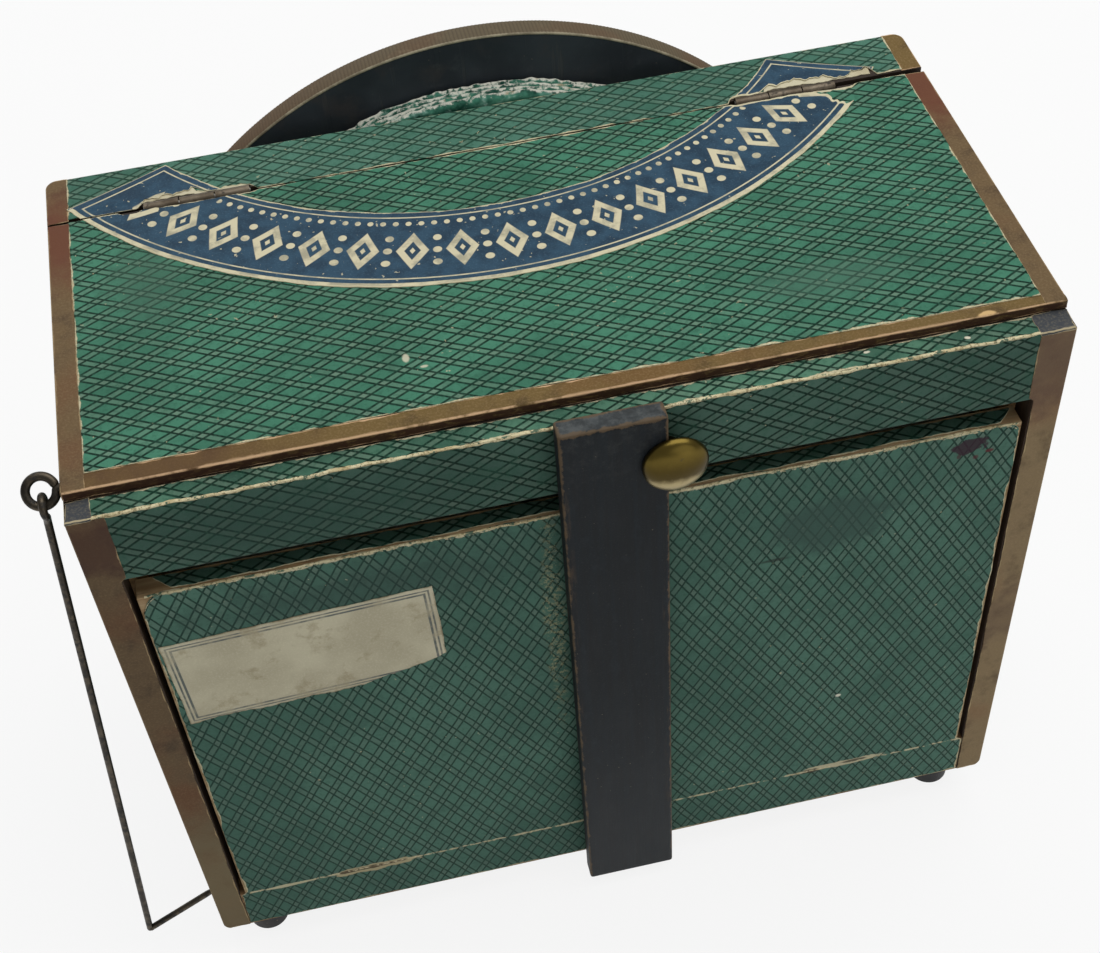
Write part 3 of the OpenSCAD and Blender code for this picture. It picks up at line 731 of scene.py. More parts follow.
@dataclass(frozen=True)
class StudBrass(Finish):
    """Polished brass of the stud, painted dark olive above as painted shade and pale below as a painted
    highlight.
    """

    middle: float
    radius: float
    shaded_olive: Colour = (104, 88, 40)
    deep: Colour = (70, 58, 24)
    pale: Colour = (172, 156, 112)

    def coat(self) -> None:
        """Paint tone follows height over the dome, moved a little by noise: painted shade above, a painted
        highlight below.
        """
        shader = self.shader
        _, _, height = shader.parts(shader.place)
        soil, fine = shader.noise(1.6, 4.0, 0.65), shader.noise(0.4, 3.0, 0.6)
        level = (height - self.middle) / self.radius + (soil - 0.5) * 0.25
        # Painted shade: darkest over the middle of the dome, dark olive on top.
        shader.ground(level.step(0.0, 0.75), self.deep, self.shaded_olive)
        # Painted highlight on the lower part of the dome.
        shader.paint(level.step(-0.15, -0.5) * 0.85, self.pale)
        spot = soil.step(0.64, 0.74) * 0.5
        shader.paint(spot, (62, 50, 26))
        metal = 0.95 - spot * 0.5
        shader.close(0.24 + soil * 0.12 + spot * 0.2, height=fine * 0.4 + soil * 0.4, depth=0.012,
                     Metallic=metal)


@dataclass(frozen=True)
class PlainCard(Finish):
    """Matt card or lining paper with fibres, foxing and soil."""

    colour: Colour = (206, 198, 174)
    stain: Colour = (160, 144, 112)

    def coat(self) -> None:
        """Paint the material from three sizes of noise."""
        shader = self.shader
        cloud, soil = shader.noise(26.0, 4.0), shader.noise(5.0, 5.0, 0.66)
        fibre = shader.noise(0.55, 3.0, 0.6, (1.0, 0.5, 1.0))
        shader.ground(cloud.step(0.4, 0.7) * 0.6, self.colour, self.stain)
        shader.paint(soil.step(0.58, 0.76) * 0.5, self.stain)
        shader.paint(fibre.step(0.5, 0.8) * 0.25, (226, 220, 200))
        shader.close(0.7 + soil * 0.2, 0.25, fibre * 0.5 + soil * 0.4, 0.1, 0.8)


@dataclass(frozen=True)
class WornEdge(Finish):
    """Cream core of a worn paper edge, pitted, soiled and broken by rests of the green print."""

    cream: Colour = (224, 213, 174)
    rest: Colour = (66, 98, 82)

    def coat(self) -> None:
        """Paint the material from fine pits, soil and larger rests of print."""
        shader = self.shader
        pits, soil = shader.noise(0.75, 4.0, 0.7), shader.noise(7.0, 5.0, 0.7)
        shader.ground(soil.step(0.4, 0.66) * 0.7, self.cream, (184, 164, 118))
        shader.paint(pits.step(0.5, 0.62) * 0.75, (124, 110, 76))
        shader.paint(shader.noise(3.4, 4.0, 0.7).step(0.57, 0.62) * 0.9, self.rest)
        shader.close(0.7 + soil * 0.2, 0.12, pits, 0.3, 1.0)


@dataclass(frozen=True)
class WashedPaper(Finish):
    """Translucent view paper with a plain wash from warm ground to pale sky, and no picture."""

    low: float
    high: float
    ground: Colour = (168, 142, 98)
    sky: Colour = (206, 212, 208)

    def coat(self) -> None:
        """Paint the wash follows height, broken by noise, over paper fibres."""
        shader = self.shader
        _, _, height = shader.parts(shader.place)
        cloud, fibre = shader.noise(22.0, 5.0), shader.noise(0.6, 3.0, 0.6)
        level = (height - self.low) / (self.high - self.low) + (cloud - 0.5) * 0.5
        shader.ground(level.step(0.2, 0.75), self.ground, self.sky)
        shader.paint(fibre.step(0.5, 0.8) * 0.2, (232, 226, 206))
        shader.close(0.65 + cloud * 0.2, height=fibre * 0.6 + cloud * 0.4, depth=0.08)


@dataclass(frozen=True)
class GroundGlass(Finish):
    """Clear old glass with faint dust."""

    def coat(self) -> None:
        """Paint full transmission, with roughness rising in dusty patches."""
        shader = self.shader
        dust = shader.noise(4.0, 5.0, 0.7).step(0.5, 0.8)
        shader.ground(dust * 0.3, (244, 250, 248), (214, 212, 200))
        shader.close(0.03 + dust * 0.12, Transmission_Weight=1.0, IOR=1.52)


@dataclass(frozen=True)
class StudioFloor(Finish):
    """Pale matt floor that shows nearly white to the camera and keeps a soft shadow."""

    colour: Colour = (236, 236, 234)
    white_share: float = 0.86

    def coat(self) -> None:
        """Paint the material, mostly plain white to rays from the eye, and all of it far away."""
        shader = self.shader
        grain = shader.noise(40.0, 3.0)
        shader.ground(grain, self.colour, (232, 232, 231))
        shader.close(0.9)
        rays = shader.add("ShaderNodeLightPath")
        node = rays.socket.node
        seen = rays | Signal(shader, node.outputs["Is Glossy Ray"])
        seen = seen | Signal(shader, node.outputs["Is Transmission Ray"])
        x, y, _ = shader.parts(shader.place)
        far = (x * x + y * y).root().step(450.0, 1500.0) * (1.0 - self.white_share)
        white = shader.add("ShaderNodeEmission", {}, {"Color": (1.0, 1.0, 1.0, 1.0), "Strength": 1.0})
        matt = Signal(shader, shader.surface.outputs[0])
        both = shader.add("ShaderNodeMixShader", {}, {0: seen * (far + self.white_share), 1: matt, 2: white})
        shader.plug(shader.output.inputs[0], both)


# Surfaces on grids


def around(count: int) -> Array:
    """Even angles of a full turn, one to a row."""
    return np.linspace(0, 2 * np.pi, count, endpoint=False)[:, None]


def unit(values: Array) -> Array:
    """Limit values to 0 to 1."""
    return np.clip(values, 0.0, 1.0)


@dataclass
class Surface:
    """A grid of points in millimetres with attributes on the same grid.

    Attributes:
        points: Rows by columns by three.
        fields: Attribute name to an array of one or three values per point.
        closed: Whether the rows, and the columns, run round to their start.
        inside: A point behind an open sheet; a closed shape has none.
        poles: Whether rows that shrink to a point are merged.
    """

    points: Array
    fields: dict[str, Array] = field(default_factory=dict)
    closed: tuple[bool, bool] = (False, False)
    inside: Optional[Triple] = None
    poles: bool = False

    def faces(self) -> Array:
        """Join each point to its neighbours in quads that point away from the inside.

        Returns:
            Point numbers of the quads, four to a row.
        """
        rows, columns = self.points.shape[:2]
        index = np.arange(rows * columns).reshape(rows, columns)
        if self.closed[0]:
            index = np.vstack([index, index[:1]])
        if self.closed[1]:
            index = np.hstack([index, index[:, :1]])
        quads = np.stack([index[:-1, :-1], index[1:, :-1], index[1:, 1:], index[:-1, 1:]], -1).reshape(-1, 4)
        corner = self.points.reshape(-1, 3)[quads]
        normal = np.cross(corner[:, 2] - corner[:, 0], corner[:, 3] - corner[:, 1])
        seat = np.zeros(3) if self.inside is None else np.array(self.inside)
        outward = np.einsum("ij,ij->i", normal, corner.mean(1) - seat).sum()
        return quads if outward > 0 else quads[:, ::-1]

    def put(self, name: str) -> bpy.types.Object:
        """Make the mesh object.

        Args:
            name: Name of the piece.

        Returns:
            The object, at the origin, linked to the scene.
        """
        mesh = bpy.data.meshes.new(name)
        flat = self.points.reshape(-1, 3)
        mesh.from_pydata((flat * MM).tolist(), [], self.faces().tolist())
        for key, values in self.fields.items():
            kind = ("FLOAT_VECTOR", "vector") if values.ndim == 3 else ("FLOAT", "value")
            layer = mesh.attributes.new(key, kind[0], "POINT")
            layer.data.foreach_set(kind[1], np.ascontiguousarray(values, dtype=np.float32).ravel())
        if self.poles:
            work = bmesh.new()
            work.from_mesh(mesh)
            bmesh.ops.remove_doubles(work, verts=work.verts, dist=1e-6)
            bmesh.ops.dissolve_degenerate(work, edges=work.edges, dist=1e-7)
            work.to_mesh(mesh)
            work.free()
        mesh.polygons.foreach_set("use_smooth", np.ones(len(mesh.polygons), dtype=bool))
        mesh.update()
        piece = bpy.data.objects.new(name, mesh)
        bpy.context.scene.collection.objects.link(piece)
        return piece


def ladder(length: float, step: float) -> Array:
    """Even places along a length, with a few closer ones at both ends.

    Args:
        length: Length to divide.
        step: Usual distance between places.

    Returns:
        The places from 0 to the length.
    """
    tight = np.array([0.0, 0.2, 0.5, 1.0, 1.7])
    tight = tight[tight < length / 4]
    even = np.linspace(tight[-1], length - tight[-1], max(3, round(length / step) + 1))
    return np.unique(np.concatenate([tight, even, length - tight]))


def ripple(places: Array, seed: int) -> Array:
    """Ragged line: a sum of sines of falling length and strength with seeded phases.

    Args:
        places: Places along the line in millimetres.
        seed: Number that picks the phases.

    Returns:
        Values from about 0 to 1.
    """
    lengths = np.array([43.0, 19.0, 8.3, 3.7, 1.9])
    weight = lengths ** 0.45
    phase = np.random.default_rng(seed).uniform(0, 2 * np.pi, lengths.size)
    wave = np.sin(2 * np.pi * places[..., None] / lengths + phase) * weight
    return 0.5 + wave.sum(-1) / weight.sum() * 0.9


def bumps(first: Array, second: Array, size: float, seed: int) -> Array:
    """Crumpled height: twelve plane waves in seeded directions, of lengths about the given size.

    Args:
        first: One coordinate in millimetres.
        second: The other coordinate.
        size: Usual wavelength.
        seed: Number that picks directions, lengths and phases.

    Returns:
        Heights of about -1 to 1.
    """
    draw = np.random.default_rng(seed)
    turn, phase = draw.uniform(0, 2 * np.pi, 12), draw.uniform(0, 2 * np.pi, 12)
    wave = 2 * np.pi / (size * draw.uniform(0.6, 1.8, 12))
    way = first[..., None] * np.cos(turn) + second[..., None] * np.sin(turn)
    return np.sin(way * wave + phase).sum(-1) / 5.0


def arrange(axis: Axis, along: Array, first: Array, second: Array) -> Array:
    """Put a place along an axis and the two places across it in order.

    Args:
        axis: The axis.
        along: Places along it.
        first: Places along the first of the other two axes.
        second: Places along the second.

    Returns:
        Points in x, y, z order.
    """
    parts = [first, second]
    parts.insert(axis.value, along)
    return np.stack(np.broadcast_arrays(*parts), -1)


def draw_in(points: Array, gap: Array, inner: float, rim: float, radius: float) -> None:
    """Round a sheet off at an outer edge of the box.

    Places along X beyond the inner one, on either side, are scaled so that the rim follows a
    quarter circle towards the edge.

    Args:
        points: Points of the sheet, which are changed.
        gap: Distance of each point from the edge.
        inner: Place along X up to which nothing moves.
        rim: Place along X of the rim away from the edge.
        radius: Radius of the quarter circle.
    """
    limit = rim - radius + np.sqrt(radius ** 2 - np.clip(radius - gap, 0.0, radius) ** 2)
    beyond = np.maximum(np.abs(points[..., 0]) - inner, 0.0)
    points[..., 0] += np.sign(points[..., 0]) * beyond * ((limit - inner) / (rim - inner) - 1.0)


@dataclass(frozen=True)
class Sheet:
    """A sheet of paper: a folded line carried along an axis, with ragged edges.

    Attributes:
        axis: Direction along which the line is carried.
        line: Corners of the folded line, in the other two axes in x, y, z order.
        reach: Start and end along the axis.
        inside: A point behind the sheet.
        seed: Seed of the ragged edges.
        tear: Depth of the ragged edges.
        start: The pattern's coordinate at the line's start.
        step: Distance between rows.
        creases: Places along the line that are creased.
        corner: Radius of the sheet's corners at the line's end.
        start_cut: More inset of the line's start, by place.
        end_cut: The same for its end.
        side_cut: The same for both sides, by distance along the line.
        rounding: Half width of the window that rounds the line's corners.
        worn_sides: Whether the two sides count as edges that wear.
    """

    axis: Axis
    line: tuple[Pair, ...]
    reach: Pair
    inside: Triple
    seed: int
    tear: float = 0.5
    start: float = 0.0
    step: float = 1.0
    creases: tuple[float, ...] = ()
    corner: float = 0.0
    start_cut: Optional[Cut] = None
    end_cut: Optional[Cut] = None
    side_cut: Optional[Cut] = None
    rounding: float = 0.5
    worn_sides: bool = True

    def fold(self, way: Array) -> Array:
        """Follow the folded line.

        The line's corners are rounded by averaging its place over a short window, which leaves
        straight runs as they are.

        Args:
            way: Distances along the line.

        Returns:
            The two coordinates at each distance.
        """
        corners = np.array(self.line, dtype=float)
        runs = np.diff(corners, axis=0)
        sizes = np.linalg.norm(runs, axis=1)
        spare = 9.0
        first, last = corners[0] - runs[0] / sizes[0] * spare, corners[-1] + runs[-1] / sizes[-1] * spare
        ends = np.vstack([first, corners, last])
        marks = np.concatenate([[-spare], [0.0], np.cumsum(sizes), [sizes.sum() + spare]])
        window = way[..., None] + np.linspace(-self.rounding, self.rounding, 9)
        return np.stack([np.interp(window, marks, ends[:, i]).mean(-1) for i in (0, 1)], -1)

    def surface(self) -> Surface:
        """Work the sheet out.

        Points of an even grid are pulled in near the edges by the ragged line, by the cuts and by
        the rounded corners.

        Returns:
            The sheet's surface, with its paper and bend attributes.
        """
        sizes = np.linalg.norm(np.diff(np.array(self.line, dtype=float), axis=0), axis=1)
        total, turns = sizes.sum(), np.cumsum(sizes)[:-1]
        folds = np.concatenate([turns, np.array(self.creases)])
        near = (folds[:, None] + np.linspace(-2.5, 2.5, 17)).ravel()
        stations = np.unique(np.clip(np.concatenate([ladder(total, 2.2), near]), 0.0, total))
        stations = stations[np.concatenate([[True], np.diff(stations) > 0.02])]
        low, high = self.reach
        along, across = np.meshgrid(low + ladder(high - low, self.step), stations, indexing="ij")
        edge = np.minimum(across, total - across)
        if self.worn_sides:
            edge = np.minimum(edge, np.minimum(along - low, high - along))
        bend = np.zeros_like(across)
        if folds.size:
            bend = unit(1.0 - (np.abs(across[..., None] - folds) - 0.1) / 1.4).max(-1)

        def pull(gap: Array, depth: Array) -> Array:
            """Share an edge's inset out over the few millimetres beside it."""
            return depth * unit(1.0 - gap / (3.0 + 2.0 * depth.max()))

        depth_start = self.tear * ripple(along, self.seed)
        depth_end = self.tear * ripple(along, self.seed + 1)
        if self.start_cut:
            depth_start = depth_start + self.start_cut(along)
        if self.end_cut:
            depth_end = depth_end + self.end_cut(along)
        if self.corner:
            gap = np.minimum(along - low, high - along)
            miss = np.clip(self.corner - gap, 0.0, self.corner)
            depth_end = depth_end + self.corner - np.sqrt(self.corner ** 2 - miss ** 2)
        way = across + pull(across, depth_start) - pull(total - across, depth_end)
        depth_low = self.tear * ripple(across, self.seed + 2)
        depth_high = self.tear * ripple(across, self.seed + 3)
        if self.side_cut:
            extra = self.side_cut(across)
            depth_low, depth_high = depth_low + extra, depth_high + extra
        place = along + pull(along - low, depth_low) - pull(high - along, depth_high)
        spot = self.fold(way)
        points = arrange(self.axis, place, spot[..., 0], spot[..., 1])
        paper = np.stack([place, way + self.start, edge], -1)
        return Surface(points, {"paper": paper, "bend": bend}, inside=self.inside)


def soften(path: Array, step: float, window: float) -> Array:
    """Round a wire's path.

    The path is cut into even steps and each point becomes the mean of its neighbours within the
    window; the path is first carried on past its ends, so that they stay in place.

    Args:
        path: Points of the path.
        step: Distance between the new points.
        window: Length over which the path is averaged.

    Returns:
        The new points.
    """
    marks = np.concatenate([[0.0], np.cumsum(np.linalg.norm(np.diff(path, axis=0), axis=1))])
    even = np.linspace(0.0, marks[-1], int(marks[-1] / step) + 1)
    points = np.stack([np.interp(even, marks, path[:, i]) for i in range(3)], -1)
    half = max(1, int(window / step / 2))
    head = points[0] + (points[0] - points[1:half + 1][::-1])
    tail = points[-1] + (points[-1] - points[-half - 1:-1][::-1])
    longer = np.vstack([head, points, tail])
    kernel = np.ones(2 * half + 1) / (2 * half + 1)
    return np.stack([np.convolve(longer[:, i], kernel, "valid") for i in range(3)], -1)


def tube(path: Array, radius: Array, reference: Triple, sides: int = 14) -> Surface:
    """Carry a circle along a path.

    At each point the circle stands square to the path, turned by a fixed reference direction, and
    shrinks to a point through a quarter circle at both ends.

    Args:
        path: Points of the path.
        radius: Radius at each point.
        reference: Direction that is never along the path.
        sides: Points round the circle.

    Returns:
        The closed surface of the wire.
    """
    way = np.gradient(path, axis=0)
    way /= np.linalg.norm(way, axis=1, keepdims=True)
    side = np.cross(way, np.array(reference))
    side /= np.linalg.norm(side, axis=1, keepdims=True)
    up = np.cross(side, way)
    turn = np.linspace(0, 2 * np.pi, sides, endpoint=False)
    ring = side[:, None] * np.cos(turn)[:, None] + up[:, None] * np.sin(turn)[:, None]
    points = path[:, None] + radius[:, None, None] * ring
    curve = np.linspace(0, np.pi / 2, 5)[1:]

    def cap(end: int, sign: float) -> Array:
        """Rows that round one end off."""
        out = path[end] + sign * way[end] * (radius[end] * np.sin(curve))[:, None]
        return out[:, None] + (radius[end] * np.cos(curve))[:, None, None] * ring[end]

    rows = np.concatenate([cap(0, -1.0)[::-1], points, cap(-1, 1.0)])
    return Surface(rows, closed=(False, True), poles=True)


def turned(radii: Array, heights: Array, centre: Pair, count: int,
           closed_profile: bool = False) -> Surface:
    """Turn a profile round an axis along Y.

    Args:
        radii: Radius of each profile point, or an array of angle by profile point.
        heights: Place along Y of each profile point, in the same form.
        centre: X and Z of the axis.
        count: Points round the axis.
        closed_profile: Whether the profile runs back to its start.

    Returns:
        The turned surface.
    """
    turn = around(count)
    radii, heights = np.broadcast_arrays(radii, heights)
    x = centre[0] + radii * np.cos(turn)
    z = centre[1] + radii * np.sin(turn)
    points = np.stack([x, np.broadcast_to(heights, x.shape), z], -1)
    return Surface(points, closed=(True, closed_profile), poles=True)


# Sub-assemblies


@dataclass
class SubAssembly:
    """Base of the sub-assemblies: lays pieces on a body and dresses CAD nodes."""

    body: str = "case"

    def lay(self, name: str, surface: Surface, finish: Finish, slot: Optional[str] = None,
            replaces: tuple[str, ...] = (), thickness: float = 0.0, ride: bool = True) -> bpy.types.Object:
        """Make a piece, finish it and say what it belongs to.

        Args:
            name: Name of the piece.
            surface: Its shape.
            finish: Its finish.
            slot: Material slot of the record, if one fits; not used.
            replaces: CAD nodes that the piece stands for.
            thickness: Thickness given inwards, in millimetres.
            ride: Whether the piece rides on the body as a whole.

        Returns:
            The piece.
        """
        piece = surface.put(name)
        piece.data.materials.append(finish.material())
        if thickness:
            wall = piece.modifiers.new("thickness", "SOLIDIFY")
            wall.thickness, wall.offset = thickness * MM, -1.0
        if ride:
            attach(piece, self.body)
        if replaces:
            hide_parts(*replaces)
        LOG.info("piece %s on %s, %d faces, %s", name, self.body, len(piece.data.polygons), finish.name)
        return piece

    def paper(self, name: str, sheet: Sheet, finish: Finish, slot: str = "papered_wood") -> bpy.types.Object:
        """Lay a sheet of paper."""
        return self.lay(name, sheet.surface(), finish, slot, thickness=PAPER_T)

    def worn_edge(self, name: str, reach: Pair, face: float, shelf: float, width: float,
                  seed: int) -> None:
        """Lay the thin cream line where a rear edge is worn through.

        Args:
            name: Name of the piece.
            reach: Start and end along X.
            face: Place along Y of the rear paper.
            shelf: Height of the upper paper.
            width: Width of the line on top.
            seed: Seed of the ragged edges.
        """
        lift = 0.06
        line = ((face - lift, shelf - 0.6 * width), (face - lift, shelf + lift), (face + width, shelf + lift))
        self.paper(name, Sheet(
            Axis.X, line, reach, (0.0, face + 5.0, shelf - 5.0), seed, 0.8 * width, step=0.5, rounding=0.2),
            CREAM_EDGE)

    def dress(self, finish: Finish, *nodes: str) -> None:
        """Give CAD nodes a finish.

        Args:
            finish: The finish.
            nodes: Names of the nodes.
        """
        for node in nodes:
            mesh = frame["nodes"][node].data
            mesh.materials.clear()
            mesh.materials.append(finish.material())
            LOG.info("node %s dressed in %s", node, finish.name)


BROWN = BoundPaper("brown binding paper")
RUST = BoundPaper("rusty binding paper", (100, 82, 60), (70, 56, 41), (104, 70, 48), (168, 146, 110),
                  blots=(Blot((14.0, 6.0), (62.0, 30.0), (124, 111, 84), 0.75, 0.9, 1.2),
                         Blot((160.0, 6.0), (11.0, 20.0), (72, 48, 40), 0.7, 0.6, 1.2)))
# Bright pale tone and strong fold line: wear and a painted highlight along the fold; its skirt is painted
# shade.
LID_BROWN = BoundPaper(
    "brown lid binding", (111, 90, 51), (80, 63, 35), (112, 82, 46), (222, 184, 144), 0.9, 0.3, 5.3,
    blots=(Blot((91.5, 4.7), (2.1, 1.1), (218, 182, 126), 0.9, 0.4, 1.8),
           Blot((-88.0, 3.0), (44.0, 12.0), (92, 66, 44), 0.7, 0.9, 1.0)))
LID_SIDE = BoundPaper(
    "brown side binding of the lid", (108, 88, 61), (81, 64, 45), (110, 78, 53), (190, 164, 124),
    0.8, 0.3, 5.6, blots=(Blot((34.0, 3.0), (24.0, 12.0), (106, 62, 45), 0.85, 0.8, 0.7),))
LIGHT_BROWN = BoundPaper(
    "light brown binding paper", (138, 118, 88), (104, 86, 62), (132, 100, 72), (186, 164, 126),
    blots=(Blot((160.0, 6.0), (22.0, 20.0), (102, 80, 66), 0.75, 0.8, 1.4),
           Blot((70.0, 6.0), (16.0, 20.0), (108, 88, 70), 0.5, 0.8, 1.6)))
SLATE = BoundPaper("slate corner paper", (67, 70, 74), (50, 52, 56), (78, 76, 74), (204, 188, 150), 0.95, 0.2)
CORE = BoardWood("panel core wood", Axis.X)
FLAP_CORE = BoardWood("flap core wood", Axis.X, (182, 158, 120), (146, 118, 82))
SOILED = BoardWood("soiled core wood", Axis.X, (58, 46, 35), (40, 31, 24))
UPRIGHT = BoardWood("side panel wood", Axis.Z, (66, 50, 36), (42, 31, 23))
PINE = BoardWood("planed softwood", Axis.X, (176, 142, 98), (138, 104, 66))
STEEL = OldMetal("dull steel", (150, 146, 138), (108, 104, 98), (62, 54, 46))
HINGE_METAL = OldMetal("dull hinge metal", (112, 102, 88), (82, 72, 60), (44, 38, 32), 0.38, 6.0, 0.6)
DARK_WIRE = OldMetal("dark wire", (84, 76, 64), (56, 52, 46), (30, 29, 27), 0.34, 4.0, 0.8)
BRASS = OldMetal("old brass", (156, 134, 80), (118, 98, 52), (58, 48, 26), 0.24, 4.0, 0.4)
BLACK = CrazedBlack("crazed black wood")
FOOT_BLACK = CrazedBlack("black wood of the feet", (34, 34, 35), (26, 26, 27), (58, 56, 53))
CARD = PlainCard("pale card")
UNDER = PlainCard("worn under-paper", (204, 196, 166), (166, 148, 112))
BUFF = PlainCard("buff lining paper", (172, 156, 122), (128, 108, 78))
CREAM_EDGE = WornEdge("worn cream edge")
CHECK_LID = CheckPaper(
    "check paper of the lid", edge_wear=0.6,
    blots=(Blot((-34.0, -30.0), (0.9, 1.6), (208, 204, 178), 0.8, 0.5, 1.6),
           Blot((-30.5, -33.5), (1.2, 0.6), (208, 204, 178), 0.8, 0.5, 1.6),
           Blot((62.0, -30.0), (26.0, 9.0), (70, 104, 88), 0.5, 0.8),
           Blot((-88.0, 12.0), (14.0, 20.0), (66, 98, 82), 0.5, 0.8)))
CHECK_STRIP = CheckPaper("check paper of the fixed strip", (80, 124, 106), (66, 107, 91), ink=(24, 54, 42),
                         edge_wear=0.65, fold_wear=0.7)
CHECK_LEDGE = CheckPaper("check paper of the ledge", (88, 132, 108), (54, 86, 72), edge_wear=0.9,
                         blots=(Blot((86.0, -54.2), (0.9, 0.6), (226, 220, 196), 0.9, 0.4, 3.2),
                                Blot((63.5, -52.6), (1.0, 0.5), (226, 220, 196), 0.9, 0.4, 3.2)))
# The rail's large dark blot on the left is painted shade: the left lies darker as the light comes from the
# right.
CHECK_RAIL = CheckPaper(
    "check paper of the top rail", (76, 106, 93), (60, 87, 76), tint=(98, 114, 101), tilt=31.5, pitch=5.3,
    edge_wear=0.3, fold_wear=0.2, blots=(Blot((-62.0, 158.0), (52.0, 15.0), (46, 70, 62), 0.45, 0.9),))
CHECK_SIDE = CheckPaper(
    "check paper of the sides", (82, 119, 104), (68, 102, 89), (54, 84, 72), (24, 52, 43),
    tint=(106, 122, 110), tilt=59.2, pitch=5.12, line_w=0.44)
CHECK_BACK = replace(
    CHECK_SIDE, name="check paper of the flap", edge_wear=0.6, fold_wear=0.9,
    blots=(Blot((57.5, 120.0), (19.0, 11.5), (58, 82, 74), 0.75, 0.5),
           # Thin dark mark at (43.5, 111): the painted shade of a crease.
           Blot((43.5, 111.0), (6.0, 0.8), (44, 52, 46), 0.75, 0.8, 0.8),
           Blot((-52.0, 130.0), (58.0, 15.0), (48, 68, 62), 0.6, 0.9),
           Blot((89.5, 137.6), (4.8, 2.9), (54, 34, 46), 0.88, 0.2, 2.4),
           Blot((94.6, 134.8), (1.2, 0.6), (96, 38, 44), 0.8, 0.4, 0.8),
           Blot((91.4, 133.4), (0.9, 0.9), (84, 40, 48), 0.7, 0.5, 0.8),
           Blot((87.2, 134.6), (0.7, 1.0), (70, 36, 44), 0.7, 0.5, 0.8),
           Blot((64.0, 49.5), (1.0, 0.8), (226, 222, 204), 0.95, 0.4),
           Blot((-10.2, 104.0), (3.4, 44.0), (164, 160, 122), 0.6, 0.6, 1.6, 0.5),
           Blot((-66.0, 15.3), (15.8, 1.7), (186, 172, 136), 0.9, 0.25, 1.8),
           Blot((-68.0, 15.6), (11.0, 0.8), (66, 52, 36), 0.85, 0.4, 2.0),
           Blot((-89.0, 15.5), (8.0, 0.6), (206, 196, 162), 0.85, 0.3, 2.6),
           Blot((66.0, 16.2), (12.8, 1.3), (202, 192, 160), 0.9, 0.25, 1.8),
           Blot((57.0, 15.6), (5.0, 1.1), (62, 48, 36), 0.85, 0.4, 1.6),
           Blot((70.5, 16.4), (4.2, 0.7), (52, 42, 34), 0.8, 0.4, 1.6)))


# Middle and half length of the hinges along X
HINGE_X, HINGE_HALF = 74.0, 13.0
# Distance from the middle at which the under-papers at the hinges start
UNDER_START = 58.0


def hinge_tear(shallow: float, deep: float, patches: tuple[Pair, ...], seed: int) -> Cut:
    """Inset of a paper's edge along the hinge line: a little over each hinge, more at torn patches.

    Args:
        shallow: Inset over a hinge.
        deep: Inset at a torn patch.
        patches: Start and end of each patch along X.
        seed: Seed of the ragged line.

    Returns:
        A function of the place along X.
    """
    def cut(place: Array) -> Array:
        """Flat humps with short slopes, made ragged; the deepest one counts.

        Args:
            place: Places along X.

        Returns:
            The inset at each place.
        """
        gap = np.abs(np.abs(place) - HINGE_X)
        depth = shallow * unit((HINGE_HALF + 1.6 - gap) / 1.2)
        for low, high in patches:
            hump = unit(np.minimum(place - low, high - place) / 1.8)
            depth = np.maximum(depth, deep * hump)
        return depth * (0.65 + 0.7 * ripple(place, seed))
    return cut


# Torn patches of the strip's and the lid's papers
STRIP_PATCHES = ((-88.0, -73.0), (68.5, 99.0))
LID_PATCHES = ((-93.5, -87.0), (81.0, 92.0))


